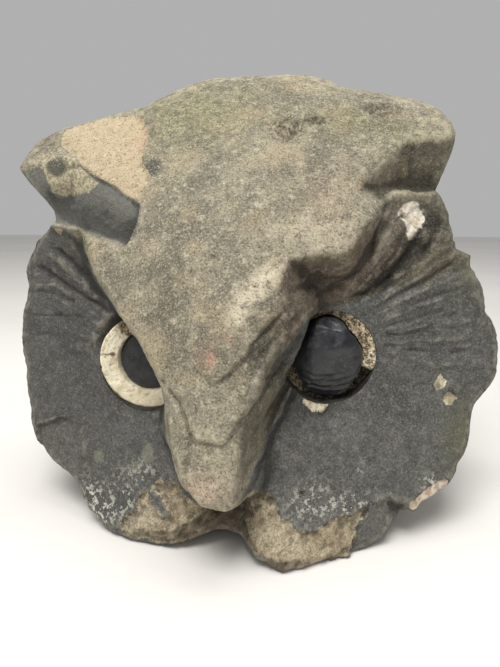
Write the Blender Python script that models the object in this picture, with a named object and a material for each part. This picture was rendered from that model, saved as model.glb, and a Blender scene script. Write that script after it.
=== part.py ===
"""Stone corbel carved as an owl's head, with black plugs bedded in pale mortar in its two eye sockets.

Blender 4.5, metres, +Z up. The face looks along -Y and the flat bed at the back lies in the plane Y = 0, with the origin
at the middle of the bed. All the sizes below are millimetres, with X to the right, Z above the lowest point of the two
lower lobes, and "depth" measured forward from the bed.
"""

import math

import bmesh
import bpy
import numpy as np
from mathutils import Vector

MM = 0.001
BED_CENTRE_Z = 150.0        # height of the origin above the lowest point
CENTRE = (0.0, 130.0)       # the point that the outline radii start from

# grid that is wrapped over the head
FRONT_CELLS = 48
SIDE_RINGS = 5

# facial discs: centre and rim radius every 30 degrees, from +X anticlockwise (worn and chipped)
DISC_R_CENTRE = (62.0, 98.0)
DISC_R_RADII = (101, 103, 105, 104, 100, 98, 98, 101, 104.5, 98.5, 97, 91)
LOBE_WEB = 38.0
DISC_L_CENTRE = (-65.0, 103.0)
DISC_L_RADII = (98, 98, 100, 101, 104, 102, 99, 100, 99, 103, 103, 98)

# upper outline, as runs of points read from left to right: the ear bar, the cap above it and the cheeks below the ears
EAR_BAR = ((-128, 193), (-158, 229), (-151, 248), (-134, 258), (-86, 270), (0, 284), (60, 283), (108, 274), (121, 268), (128, 259), (129.5, 249), (127.5, 236), (119, 213))
CAP = ((-88, 262), (-72, 276), (-56, 284), (-38, 292), (34, 293), (49, 289), (68, 278))
CHEEK_L = ((-150, 128), (-158, 160), (-148, 180), (-128, 196))
CHEEK_R = ((117, 214), (126, 200), (132, 179), (140, 174), (138, 150))
# chips broken off the rim of the discs: bearing round CENTRE and half-width in degrees, depth
RIM_CHIPS = ((198, 9, 5), (222, 6, 9), (316, 5, 8), (341, 6, 11), (364, 4, 4), (384, 7, 3.5))

# depth of the carving
CROWN_EDGE_DEPTH = 36.0
CROWN_TOP_Z = 291.0
CROWN_SLOPE = 0.98
BEAK_DEPTH = 181.0
BEAK_Z = 60.0
BEAK_SLOPE = 0.28
FOREHEAD_BLEND = 18.0
DISC_DEPTH = 112.0
DISC_FALL_OUT = 0.28
DISC_FALL_UP = 0.10
DISC_RISE_DOWN = 0.32
EYE_BED_DEPTH = 109.0
EYE_BED_RADIUS = 42.0
EAR_CUT = 11.0
EAR_PLANE = 70.0            # depth of the face under the right ear
EDGE_SOFT = 4.5             # half-width of the steps between cut faces
CERE_STEP = 2.4
LOBE_SWELL_R = 13.0
LOBE_SWELL_L = 4.0
EAR_SETBACK = 12.0
RIM_ROUND = 11.0
RIM_BAND = 0.085
SIDE_FALL = 1.7

# edge of the forehead and beak, seen from the front
WEDGE = ((-190, 206), (-104, 189), (-90, 164), (-72, 141), (-57, 126), (-47, 112), (-38, 98), (-35, 84), (-31, 68), (-26, 56), (-16, 47), (-6, 45),
         (1, 56), (3, 66), (3, 78), (4, 90), (8, 99), (13, 107), (19, 124), (26, 136), (28, 146), (23, 158), (27, 175), (58, 177), (66, 188), (79, 199),
         (67, 213), (75, 229), (96, 241), (150, 247), (150, 330), (-190, 330))

# faces cut back under the ears' edges, and the beak proper below the lip of its cere
FACET_L = ((-153, 227), (-114, 232), (-92, 219.5), (-64, 204), (-65, 196), (-70, 181), (-88, 185), (-113, 192), (-137, 196))
FACET_R = ((135, 246), (108, 242), (95, 240), (84, 232), (75, 225), (69, 214), (94, 212.5), (134, 213))
BEAK_FACE = ((-22, 87), (-17, 84.5), (-4, 84), (0, 89), (5, 96), (14, 100), (12, 79), (14, 57), (2, 30), (-18, 30), (-24, 52), (-26, 70))
BROKEN_LOBE = ((78, 28), (88, 29.5), (102, 26), (108, 14), (100, -4), (82, -8), (66, -8), (69, 8), (73, 19))

# the lobes turn under along these lines: run of points, slope
TURNS = ((((-76, 6), (-61, 11), (-41, 14), (-29, 19), (-14, 27), (4, 36)), 0.4), (((4, 14), (16, 9), (36, 7), (60, 5)), 0.35))

# folds: run of points, half-width, height
FOLDS = (
    (((84, 204), (76, 180), (62, 158)), 6.0, -3.0),
    (((92, 206), (84, 180), (70, 158)), 6.0, 2.0),
    (((106, 190), (97, 174), (84, 158), (60, 146)), 5.0, -6.0),
    (((109, 184), (94, 164), (76, 152)), 9.0, -3.0),
    (((124, 181), (104, 166), (84, 153)), 5.0, 2.0),
    (((-30, 130), (-11, 117), (-4, 122)), 4.0, -2.0),
    (((-8, 118), (6, 130), (26, 148)), 4.5, -3.0),
    (((36, 108), (26, 88), (14, 66), (5, 46)), 4.0, 2.4),
)

# eyes
EYE_R = (51.5, 114.0)
EYE_L = (-64.0, 106.0)
SOCKET_R = 29.0             # radius of the right socket
SOCKET_L = 30.8             # and of the left one
SOCKET_FLOOR = 86.0
SOCKET_TOP = 123.0          # the brow and the beak's flanks overhang the sockets in front of this
SOCKET_SIDES = 56
PLUG_R = (21.0, 25.0)       # half-width and half-height
PLUG_L = (19.5, 19.5)
PLUG_R_FRONT = 112.0
PLUG_L_FRONT = 101.0
PLUG_R_DOME = 8.0
PLUG_L_DOME = 3.0
RING_FRONT = 106.5
RING_WORN = 8.0             # how far the right ring has crumbled, below the plug
GAP = 0.3                   # between pieces that touch


def smoothstep(a, b, x):
    """From 0 at a to 1 at b; a may be the larger."""
    t = np.clip((x - a) / (b - a), 0.0, 1.0)
    return t * t * (3 - 2 * t)


def smax(a, b, k):
    h = np.clip(0.5 + 0.5 * (a - b) / k, 0.0, 1.0)
    return b + (a - b) * h + k * h * (1 - h)


def smin(a, b, k):
    return -smax(-a, -b, k)


def bump(x, z, cx, cz, rx, rz):
    return np.exp(-(((x - cx) / rx) ** 2 + ((z - cz) / rz) ** 2))


def line_distance(x, z, points):
    """Distance to a run of straight stretches, and how far along it (0 to 1) the nearest place lies."""
    best = np.full(x.shape, 1e9)
    along = np.zeros(x.shape)
    lengths = [math.dist(a, b) for a, b in zip(points, points[1:])]
    total, done = sum(lengths), 0.0
    for (x1, z1), (x2, z2), length in zip(points, points[1:], lengths):
        dx, dz = x2 - x1, z2 - z1
        t = np.clip(((x - x1) * dx + (z - z1) * dz) / length**2, 0, 1)
        d = np.hypot(x - x1 - t * dx, z - z1 - t * dz)
        near = d < best
        best = np.where(near, d, best)
        along = np.where(near, (done + t * length) / total, along)
        done += length
    return best, along


def crease(x, z, points, width, height):
    """A ridge (or a groove, with a negative height) along a run of points, fading at its ends."""
    d, t = line_distance(x, z, points)
    return height * np.exp(-((d / width) ** 2)) * smoothstep(0, 0.15, t) * (1 - smoothstep(0.8, 1.0, t))


def outside(x, z, polygon):
    """Signed distance to a closed polygon, positive outside."""
    d, _ = line_distance(x, z, tuple(polygon) + (polygon[0],))
    inside = np.zeros(x.shape, bool)
    for (x1, z1), (x2, z2) in zip(polygon, polygon[1:] + polygon[:1]):
        if z1 == z2:
            continue
        cross = (z1 > z) != (z2 > z)
        inside ^= cross & (x < (x2 - x1) * (z - z1) / (z2 - z1) + x1)
    return np.where(inside, -d, d)


def radius_at(angles, radii):
    """Radius at any angle, from radii given at even steps round the circle."""
    n = len(radii)
    r = np.asarray(radii, float)
    f = np.mod(angles / (2 * np.pi) * n, n)
    i = np.floor(f).astype(int) % n
    t = f - np.floor(f)
    t = t * t * (3 - 2 * t)
    return r[i] * (1 - t) + r[(i + 1) % n] * t


def disc_reach(c, s, centre, radii):
    """How far a ray from CENTRE towards (c, s) runs to the disc's edge."""
    reach = np.full(c.shape, 100.0)
    for _ in range(12):
        x = CENTRE[0] + reach * c - centre[0]
        z = CENTRE[1] + reach * s - centre[1]
        reach = reach + 0.8 * (radius_at(np.arctan2(z, x), radii) - np.hypot(x, z))
    return reach


def edge_reach(angles, points):
    """How far a ray from CENTRE runs to a run of points that turns clockwise round it, and 0 where it meets none."""
    reach = np.zeros(angles.shape)
    turn = np.mod(angles + np.pi / 2, 2 * np.pi)
    at = [math.fmod(math.atan2(z - CENTRE[1], x - CENTRE[0]) + 2.5 * math.pi, 2 * math.pi) for x, z in points]
    for (x1, z1), (x2, z2), a1, a2 in zip(points, points[1:], at, at[1:]):
        nx, nz = z1 - z2, x2 - x1
        k = nx * (x1 - CENTRE[0]) + nz * (z1 - CENTRE[1])
        dot = nx * np.cos(angles) + nz * np.sin(angles)
        met = (turn <= a1) & (turn >= a2)
        reach = np.where(met, k / np.where(met, dot, 1), reach)
    return reach


def outline(angles):
    c, s = np.cos(angles), np.sin(angles)
    r = smax(disc_reach(c, s, DISC_R_CENTRE, DISC_R_RADII), disc_reach(c, s, DISC_L_CENTRE, DISC_L_RADII), LOBE_WEB)
    for run in (CHEEK_L, CHEEK_R, EAR_BAR, CAP):
        r = smax(r, edge_reach(angles, run), 2.0)
    bearing = (np.degrees(angles) - 100) % 360 + 100
    return r - sum(depth * np.exp(-(((bearing - at) / half) ** 2)) for at, half, depth in RIM_CHIPS)


def bed_outline(angles):
    """The flat back: a rounded block, kept inside the front's outline."""
    c, s = np.cos(angles), np.sin(angles)
    lo, hi = np.zeros(c.shape), np.full(c.shape, 260.0)
    for _ in range(30):
        mid = 0.5 * (lo + hi)
        inside = (np.abs(mid * c) / 128.0) ** 3.2 + (np.abs(CENTRE[1] + mid * s - 149.0) / 136.0) ** 3.2 < 1
        lo, hi = np.where(inside, mid, lo), np.where(inside, hi, mid)
    return np.minimum(lo, outline(angles) * 0.97 - 1.0)


def disc_depth(x, z):
    across = np.sqrt(x**2 + 14.0**2) - 56.0
    up = z - 112.0
    rise = -DISC_FALL_UP * up + (DISC_RISE_DOWN - DISC_FALL_UP) * (smax(-up, 0.0 * up, 30.0))
    d = DISC_DEPTH - DISC_FALL_OUT * across + rise
    for cx, cz in (EYE_R, EYE_L):
        near = 0.8 * np.exp(-((np.hypot(x - cx, z - cz) / EYE_BED_RADIUS) ** 4))
        d = d + near * (EYE_BED_DEPTH - d)
    return d


def wedge_depth(x, z):
    crown = CROWN_EDGE_DEPTH + CROWN_SLOPE * (CROWN_TOP_Z - z)
    beak = BEAK_DEPTH - BEAK_SLOPE * (z - BEAK_Z)
    d = smin(crown, beak, FOREHEAD_BLEND * 2)
    middle = -8.0 * (1 - smoothstep(120, 165, z))
    slope = 0.62 - 0.30 * smoothstep(90, 190, z) - 0.20 * smoothstep(185, 240, z)
    a = 12.0
    off = x - middle
    return d - slope * (np.sqrt(off**2 + a**2) - a)


def depth_at(x, z):
    d = smin(disc_depth(x, z), wedge_depth(x, z) - EAR_SETBACK + 70.0 * smoothstep(192, 150, z), 6.0)
    out = outside(x, z, WEDGE)
    fall = SIDE_FALL * smax(out, 0 * out, 6.0)
    low = smoothstep(70, 50, z)
    by_beak = smoothstep(122, 92, z) * smoothstep(-6, 4, x)
    by_eye = bump(x, z, -62, 112, 26, 30)
    wedge = wedge_depth(x, z) - fall * (1 + 0.9 * low * (1 - by_beak) + 0.42 * by_beak + 1.3 * by_eye)
    d = smax(d, wedge, 6.0)
    # hollow between the lobes, and the lobes' own swell
    d = d - 20.0 * bump(x, z, -5, 24, 18, 20)
    d = d + LOBE_SWELL_R * bump(x, z, 28, 2, 30, 22) + LOBE_SWELL_L * bump(x, z, -48, 2, 30, 18)
    # faces cut back under the ears
    top, _ = line_distance(x, z, FACET_L[:4])
    d = d - EAR_CUT * smoothstep(EDGE_SOFT, -EDGE_SOFT, outside(x, z, FACET_L)) * (0.25 + 0.75 * smoothstep(0, 26, top))
    plane = EAR_PLANE + 0.78 * np.maximum(100 - x, 0) - 0.20 * np.maximum(x - 100, 0)
    d = d + (plane - d) * smoothstep(0.7 * EDGE_SOFT, -0.7 * EDGE_SOFT, outside(x, z, FACET_R))
    d = d - CERE_STEP * smoothstep(0.6 * EDGE_SOFT, -0.6 * EDGE_SOFT, outside(x, z, BEAK_FACE))
    for run, width, height in FOLDS:
        d = d + crease(x, z, run, width, height)
    for run, slope in TURNS:
        gap, _ = line_distance(x, z, run)
        lower = outside(x, z, run + ((run[-1][0] + 30, -40), (run[0][0] - 30, -40)))
        window = smoothstep(run[0][0] - 8, run[0][0] + 4, x) * smoothstep(run[-1][0] + 8, run[-1][0] - 4, x)
        d = d - slope * np.minimum(gap, 12.0) * smoothstep(1.0, -1.0, lower) * window
    d = d - 3.0 * smoothstep(2.5, -2.5, outside(x, z, BROKEN_LOBE))
    return d


def surface(p, q):
    """Points of the wrapped grid. Inside the unit square lies the front, then come the sides, then the bed."""
    ring = np.maximum(np.abs(p), np.abs(q))
    safe = np.maximum(ring, 1e-9)
    # even angle along each side of the square
    first = np.abs(p) >= np.abs(q)
    ratio = np.where(first, q / np.where(first, np.where(p == 0, 1, p), 1), p / np.where(first, 1, np.where(q == 0, 1, q)))
    swing = ratio * np.pi / 4
    angle = np.where(first, np.where(p >= 0, swing, swing + np.pi), np.where(q >= 0, np.pi / 2 - swing, 3 * np.pi / 2 - swing))
    c, s = np.cos(angle), np.sin(angle)
    reach = outline(angle)
    bed = bed_outline(angle)
    inner = np.minimum(ring, 1.0)
    x = CENTRE[0] + inner * reach * c
    z = CENTRE[1] + inner * reach * s
    depth = depth_at(x, z)
    t = np.clip((inner - (1 - RIM_BAND)) / RIM_BAND, 0, 1)
    depth = depth - RIM_ROUND * (1 - np.sqrt(np.maximum(1 - t**2, 0)))
    # sides, from the rim back to the bed
    w = np.clip(ring - 1.0, 0, 1)
    radial = reach + (bed - reach) * smoothstep(0.0, 1.0, w)
    x = np.where(ring > 1, CENTRE[0] + radial * c, x)
    z = np.where(ring > 1, CENTRE[1] + radial * s, z)
    depth = np.where(ring > 1, depth * (1 - w), depth)
    return np.stack([x, -depth, z - BED_CENTRE_Z], -1)


def material(name, colour, roughness, metallic=0.0):
    m = bpy.data.materials.new(name)
    m.use_nodes = True
    shader = m.node_tree.nodes["Principled BSDF"]
    shader.inputs["Base Color"].default_value = (*colour, 1)
    shader.inputs["Roughness"].default_value = roughness
    shader.inputs["Metallic"].default_value = metallic
    m.diffuse_color = (*colour, 1)
    return m


def new_object(name, bm, collection, mat):
    mesh = bpy.data.meshes.new(name)
    bm.to_mesh(mesh)
    bm.free()
    obj = bpy.data.objects.new(name, mesh)
    collection.objects.link(obj)
    if mat:
        mesh.materials.append(mat)
    return obj


def wrapped_head(name, front_cells, side_rings, collection, mat):
    """A square grid wrapped over the head, closed by one flat face at the bed."""
    cells = front_cells + 2 * side_rings
    bm = bmesh.new()
    bmesh.ops.create_grid(bm, x_segments=cells, y_segments=cells, size=1.0)
    co = np.array([v.co[:2] for v in bm.verts]) * (cells / front_cells)
    ring = np.maximum(np.abs(co[:, 0]), np.abs(co[:, 1]))
    full = cells / front_cells
    # rings past the front spread evenly over the sides
    side = 1 + (ring - 1) / (full - 1)
    scale = np.where(ring > 1, side / np.maximum(ring, 1e-9), 1.0)
    points = surface(co[:, 0] * scale, co[:, 1] * scale) * MM
    bm.verts.index_update()
    middles = np.array([co[[v.index for v in f.verts]].mean(axis=0) for f in bm.faces])
    mid_ring = np.maximum(np.abs(middles[:, 0]), np.abs(middles[:, 1]))
    mid_side = 1 + (mid_ring - 1) / (full - 1)
    mid_scale = np.where(mid_ring > 1, mid_side / np.maximum(mid_ring, 1e-9), 1.0)
    true_middles = surface(middles[:, 0] * mid_scale, middles[:, 1] * mid_scale) * MM
    for v, p in zip(bm.verts, points):
        v.co = p
    # each four-sided face is split along the diagonal that lies nearer to the carved surface
    for face, middle in zip(list(bm.faces), true_middles):
        a, b, c, d = face.verts
        middle = Vector(middle)
        if ((a.co + c.co) / 2 - middle).length <= ((b.co + d.co) / 2 - middle).length:
            bmesh.utils.face_split(face, a, c)
        else:
            bmesh.utils.face_split(face, b, d)
    rim = [e for e in bm.edges if e.is_boundary]
    bmesh.ops.contextual_create(bm, geom=rim)
    bmesh.ops.recalc_face_normals(bm, faces=bm.faces)
    return new_object(name, bm, collection, mat)


def stacked_rings(name, loops, closed, collection, mat):
    """Rings of points, each extruded from the last, then capped, or joined round to the first."""
    sides = len(loops[0])
    bm = bmesh.new()
    ring = bmesh.ops.create_circle(bm, segments=sides, radius=1.0)["verts"]
    ring.sort(key=lambda v: math.atan2(v.co.y, v.co.x) % (2 * math.pi))
    first = ring
    for v, p in zip(ring, loops[0]):
        v.co = p
    for loop in loops[1:]:
        edges = [bm.edges.get((ring[i], ring[(i + 1) % sides])) for i in range(sides)]
        made = bmesh.ops.extrude_edge_only(bm, edges=edges)["geom"]
        new_edges = {e for e in made if isinstance(e, bmesh.types.BMEdge)}
        new_verts = {v for v in made if isinstance(v, bmesh.types.BMVert)}
        after = []
        for v in ring:
            after.append(next(e.other_vert(v) for e in v.link_edges if e.other_vert(v) in new_verts and e not in new_edges))
        for v, p in zip(after, loop):
            v.co = p
        ring = after
    ends = [[bm.edges.get((r[i], r[(i + 1) % sides])) for i in range(sides)] for r in (first, ring)]
    if closed:
        bmesh.ops.bridge_loops(bm, edges=ends[0] + ends[1])
    else:
        for edges in ends:
            bmesh.ops.contextual_create(bm, geom=edges)
    bmesh.ops.recalc_face_normals(bm, faces=bm.faces)
    return new_object(name, bm, collection, mat)


def oval(centre, rx, rz, depth, sides):
    """One ring of points facing forward; rx, rz and depth may be functions of the angle."""
    points = []
    for i in range(sides):
        a = 2 * math.pi * i / sides
        x, z, d = (f(a) if callable(f) else f for f in (rx, rz, depth))
        points.append(((centre[0] + x * math.cos(a)) * MM, -d * MM, (centre[1] + z * math.sin(a) - BED_CENTRE_Z) * MM))
    return points


def eye_plug(name, centre, radii, front, dome, collection, mat):
    sides = 28
    rx, rz = radii
    loops = [oval(centre, rx, rz, SOCKET_FLOOR + GAP, sides), oval(centre, rx, rz, front - 3.0, sides)]
    for share in (0.92, 0.72, 0.45, 0.2):
        loops.append(oval(centre, rx * share, rz * share, front + dome * (1 - share**2) - 0.6, sides))
    return stacked_rings(name, loops, False, collection, mat)


def mortar_ring(name, centre, radius, plug, worn, collection, mat):
    sides = SOCKET_SIDES
    out = radius * math.cos(math.pi / sides) - GAP
    rx, rz = plug[0] / math.cos(math.pi / 28) + GAP, plug[1] / math.cos(math.pi / 28) + GAP

    def top(a):
        low = math.exp(-(((a - math.radians(290)) / 0.6) ** 2)) * worn
        return RING_FRONT - low

    loops = [
        oval(centre, out, out, SOCKET_FLOOR + GAP, sides),
        oval(centre, out, out, lambda a: top(a) - 1.5, sides),
        oval(centre, out - 1.2, out - 1.2, top, sides),
        oval(centre, rx + 1.2, rz + 1.2, lambda a: top(a) - 0.8, sides),
        oval(centre, rx, rz, lambda a: top(a) - 2.2, sides),
        oval(centre, rx, rz, SOCKET_FLOOR + GAP, sides),
    ]
    return stacked_rings(name, loops, True, collection, mat)


def drill(name, centre, radius, collection):
    """A round cutter along Y, from the socket's floor to under the brow."""
    bm = bmesh.new()
    long = SOCKET_TOP - SOCKET_FLOOR
    bmesh.ops.create_cone(bm, cap_ends=True, segments=SOCKET_SIDES, radius1=radius * MM, radius2=radius * MM, depth=long * MM)
    obj = new_object(name, bm, collection, None)
    obj.rotation_euler = (math.pi / 2, 0, 0)
    obj.location = (centre[0] * MM, -(SOCKET_FLOOR + long / 2) * MM, (centre[1] - BED_CENTRE_Z) * MM)
    obj.hide_render = True
    obj.display_type = "WIRE"
    return obj


def main():
    for obj in list(bpy.data.objects):
        bpy.data.objects.remove(obj, do_unlink=True)
    scene = bpy.context.scene.collection
    parts = bpy.data.collections.new("stone_corbel_owl_head")
    cutters = bpy.data.collections.new("cutters")
    scene.children.link(parts)
    scene.children.link(cutters)
    cutters.hide_render = True
    stone = material("sandstone", (0.17, 0.15, 0.115), 0.93)
    mortar = material("pale_mortar", (0.72, 0.62, 0.42), 0.88)
    black = material("black_stone", (0.018, 0.02, 0.024), 0.5)

    head = wrapped_head("stone_head", FRONT_CELLS, SIDE_RINGS, parts, stone)
    for side, centre, radius in (("left", EYE_L, SOCKET_L), ("right", EYE_R, SOCKET_R)):
        cut = head.modifiers.new(f"socket_{side}", "BOOLEAN")
        cut.operation = "DIFFERENCE"
        cut.solver = "EXACT"
        cut.object = drill(f"drill_{side}", centre, radius, cutters)
    mortar_ring("mortar_ring_left", EYE_L, SOCKET_L, PLUG_L, 0.0, parts, mortar)
    mortar_ring("mortar_ring_right", EYE_R, SOCKET_R, PLUG_R, RING_WORN, parts, mortar)
    eye_plug("eye_plug_left", EYE_L, PLUG_L, PLUG_L_FRONT, PLUG_L_DOME, parts, black)
    eye_plug("eye_plug_right", EYE_R, PLUG_R, PLUG_R_FRONT, PLUG_R_DOME, parts, black)


if __name__ == "__main__":
    main()
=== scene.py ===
"""Looks of the stone corbel: an owl's head in worn sandstone, with black plugs bedded in pale mortar in its eyes.

Blender 4.5. The head is one fine mesh, made by wrapping a square grid over the same form as the solid and carving the
wear into it: folds, chips, flakes, pits and grain. Sizes inside the form are millimetres, with X to the right, Z above
the lowest point of the lobes, and "depth" measured forward from the bed.
"""
import math

import bmesh
import bpy
import numpy as np
from mathutils import Matrix, Vector
from mathutils.kdtree import KDTree


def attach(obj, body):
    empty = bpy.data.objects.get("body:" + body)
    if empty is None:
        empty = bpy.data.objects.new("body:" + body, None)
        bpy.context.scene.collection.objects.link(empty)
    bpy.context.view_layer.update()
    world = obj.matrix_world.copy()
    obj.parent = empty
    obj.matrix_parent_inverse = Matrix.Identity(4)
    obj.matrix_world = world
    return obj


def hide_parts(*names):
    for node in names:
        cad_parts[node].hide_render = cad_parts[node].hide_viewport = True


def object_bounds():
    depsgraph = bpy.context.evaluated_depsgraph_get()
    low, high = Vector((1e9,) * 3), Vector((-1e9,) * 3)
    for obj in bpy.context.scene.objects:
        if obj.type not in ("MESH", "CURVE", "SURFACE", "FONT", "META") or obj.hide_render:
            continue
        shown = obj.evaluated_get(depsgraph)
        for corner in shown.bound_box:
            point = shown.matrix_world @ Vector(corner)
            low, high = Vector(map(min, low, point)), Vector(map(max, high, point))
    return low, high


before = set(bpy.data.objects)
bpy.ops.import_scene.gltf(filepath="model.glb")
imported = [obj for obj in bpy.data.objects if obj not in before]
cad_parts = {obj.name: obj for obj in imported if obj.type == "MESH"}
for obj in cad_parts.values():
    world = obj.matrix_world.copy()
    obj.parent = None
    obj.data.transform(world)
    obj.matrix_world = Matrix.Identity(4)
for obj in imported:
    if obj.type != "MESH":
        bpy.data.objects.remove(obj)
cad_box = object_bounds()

MM = 0.001
FRONT_CELLS = 236
SIDE_RINGS = 22
BED_RINGS = 8

BED_CENTRE_Z = 150.0
CENTRE = (0.0, 130.0)

# ---------------------------------------------------------------- the form, as in the solid

DISC_R_CENTRE = (62.0, 98.0)
DISC_R_RADII = (101, 103, 105, 104, 100, 98, 98, 101, 104.5, 98.5, 97, 91)
LOBE_WEB = 38.0
DISC_L_CENTRE = (-65.0, 103.0)
DISC_L_RADII = (98, 98, 100, 101, 104, 102, 99, 100, 99, 103, 103, 98)
EAR_BAR = ((-128, 193), (-158, 229), (-151, 248), (-134, 258), (-86, 270), (0, 284), (60, 283), (108, 274), (121, 268), (128, 259), (129.5, 249), (127.5, 236), (119, 213))
CAP = ((-88, 262), (-72, 276), (-56, 284), (-38, 292), (34, 293), (49, 289), (68, 278))
CHEEK_L = ((-150, 128), (-158, 160), (-148, 180), (-128, 196))
CHEEK_R = ((117, 214), (126, 200), (132, 179), (140, 174), (138, 150))
# chips broken off the rim of the discs: bearing round CENTRE and half-width in degrees, depth
RIM_CHIPS = ((198, 9, 5), (222, 6, 9), (316, 5, 8), (341, 6, 11), (364, 4, 4), (384, 7, 3.5))
CROWN_EDGE_DEPTH = 36.0
CROWN_TOP_Z = 291.0
CROWN_SLOPE = 0.98
BEAK_DEPTH = 181.0
BEAK_Z = 60.0
BEAK_SLOPE = 0.28
FOREHEAD_BLEND = 18.0
DISC_DEPTH = 112.0
DISC_FALL_OUT = 0.28
DISC_FALL_UP = 0.10
DISC_RISE_DOWN = 0.32
EYE_BED_DEPTH = 109.0
EYE_BED_RADIUS = 42.0
EAR_CUT = 11.0
CERE_STEP = 3.5
LOBE_SWELL_R = 13.0
LOBE_SWELL_L = 4.0
EAR_SETBACK = 12.0
RIM_BAND = 0.07
SIDE_FALL = 1.7
WEDGE = ((-190, 206), (-104, 189), (-90, 164), (-72, 141), (-57, 126), (-47, 112), (-38, 98), (-35, 84), (-31, 68), (-26, 56), (-16, 47), (-3, 44.5),
         (3, 49), (3.5, 58), (3, 66), (3, 78), (4, 90), (8, 99), (13, 107), (15, 115), (19, 124), (26, 136), (28, 146), (23, 158), (27, 175), (44, 178), (58, 177), (66, 188), (79, 199),
         (67, 213), (75, 229), (96, 241), (150, 247), (150, 330), (-190, 330))
FACET_L = ((-153, 226), (-135, 228), (-114, 232), (-107, 228), (-100, 223.5), (-92, 219.5), (-81, 214.5), (-73, 209), (-64, 204),
           (-65, 196), (-70, 181), (-88, 185), (-113, 192), (-137, 196))
FACET_R = ((135, 246), (123, 244.5), (108, 242), (95, 240), (84, 232), (75, 225), (69, 214), (94, 212.5), (134, 213))
BEAK_FACE = ((-22, 87), (-17, 84.5), (-4, 84), (0, 89), (5, 96), (14, 100), (12, 79), (14, 57), (2, 30), (-18, 30), (-24, 52), (-26, 70))

# the lobes turn under along these lines: run of points, slope
TURNS = (
    (((-76, 6), (-68, 7), (-61, 11), (-41, 14), (-29, 19), (-14, 27), (4, 36)), 0.4),
    (((2, 17), (10, 12), (16, 10), (36, 9), (60, 6)), 0.35),
)

EYE_R = (51.5, 114.0)
EYE_L = (-64.0, 106.0)
SOCKET_R = 29.0
SOCKET_L = 30.8
SOCKET_FLOOR = 86.0
SOCKET_TOP = 123.0
PLUG_R = (21.0, 25.0)
PLUG_L = (19.5, 19.5)
PLUG_R_FRONT = 112.0
PLUG_L_FRONT = 101.0
RING_FRONT = 105.0
GAP = 0.3

# ---------------------------------------------------------------- wear that the carving shows

# folds: run of points, half-width, height, and whether the bottom (or the top) is a sharp line
FOLDS = (
    # between the brow and the right ear
    (((84, 206), (78, 191), (73, 169)), 1.3, -3.4, True),
    (((84, 204), (76, 180), (62, 158)), 5.0, -1.6, False),
    (((92, 206), (84, 180), (70, 158)), 6.0, 0.6, False),
    (((106, 190), (97, 174), (84, 158), (60, 146)), 3.6, -4.6, True),
    (((109, 184), (94, 164), (76, 152)), 9.0, -3.0, False),
    (((124, 181), (104, 166), (84, 153)), 4.0, 1.2, False),
    (((128, 172), (108, 158), (82, 145)), 1.8, -2.0, True),
    (((120, 196), (112, 184), (106, 172)), 1.6, -1.8, True),
    (((97, 190), (90, 176), (80, 162)), 1.2, -1.2, True),
    # under the brow
    (((60, 170), (40, 166), (27, 158), (21, 146)), 1.6, 1.4, True),
    (((62, 160), (44, 152), (30, 140), (26, 126)), 1.6, -1.4, True),
    (((70, 168), (52, 158), (38, 150)), 1.6, -1.2, True),
    # bridge of the beak
    (((-4, 120), (6, 127), (16, 138)), 4.0, 1.2, False),
    # right side of the beak, running down and in
    (((44, 116), (33, 95), (22, 76), (14, 60), (8, 44)), 1.6, -3.4, True),
    (((34, 104), (26, 88), (15, 68), (7, 54), (3, 46)), 2.2, 2.4, False),
    (((38, 138), (29, 124), (19, 110), (10, 98), (3, 88)), 1.6, -3.4, True),
    (((40, 130), (30, 114), (18, 100), (8, 88)), 2.4, 1.2, False),
    (((42, 124), (30, 104), (18, 88), (9, 78)), 1.5, -2.6, True),
    (((30, 134), (22, 124), (14, 114), (7, 103)), 2.0, 0.9, False),
    (((38, 150), (28, 141), (18, 131), (10, 122)), 1.3, -2.0, True),
    (((34, 154), (24, 147), (15, 138), (8, 130)), 1.1, -1.4, True),
    (((40, 144), (31, 135), (22, 126), (15, 119)), 2.2, 1.0, False),
    (((14, 104), (8, 97), (1, 91)), 1.8, -2.4, True),
    (((10, 70), (5, 58), (1, 48)), 1.4, -1.6, True),
    # left side of the beak
    (((-52, 84), (-42, 72), (-36, 60), (-33, 44)), 1.8, -3.0, True),
    (((-46, 113), (-38, 106), (-30, 100), (-25, 92), (-21, 83)), 1.4, -2.8, True),
    (((-47, 102), (-38, 92), (-33, 80), (-29, 66)), 2.8, 2.2, False),
    (((-41, 104), (-37, 92), (-34, 78), (-29, 60)), 1.1, -2.0, True),
    (((-57, 76), (-52, 68), (-47, 58)), 2.4, 1.0, False),
    # left disc, above the eye
    (((-150, 166), (-135, 160), (-115, 149), (-99, 142), (-84, 137)), 2.6, -3.0, True),
    (((-140, 173), (-126, 168), (-112, 158), (-97, 147), (-82, 140)), 3.6, 2.0, False),
    (((-132, 178), (-116, 168), (-102, 154), (-88, 143)), 2.4, -2.8, True),
    (((-128, 186), (-112, 176), (-98, 162), (-84, 148)), 2.8, 1.4, False),
    (((-156, 145), (-144, 148), (-128, 145), (-112, 141)), 0.9, -1.3, True),
    (((-156, 130), (-137, 132), (-103, 133), (-92, 134)), 0.9, -1.1, True),
    (((-158, 117), (-140, 118), (-118, 120)), 0.8, -0.7, True),
    (((-150, 152), (-132, 152), (-112, 145)), 2.0, 0.8, False),
    # right disc
    (((146, 82), (137, 86), (124, 93), (110, 96), (98, 94)), 1.3, -0.7, True),
    (((132, 108), (120, 106), (108, 112)), 2.4, 0.9, False),
)
# the end of the forehead stands proud of the beak along this line
BRIDGE = ((-30, 131), (-21, 122), (-10.5, 113.5), (-3, 118), (3, 124), (8, 132), (17, 142), (24, 150))

PITS = ((23, 250, 13, 8.5), (42, 256, 9, 3.5), (85, 264, 15, 5.5))

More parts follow.
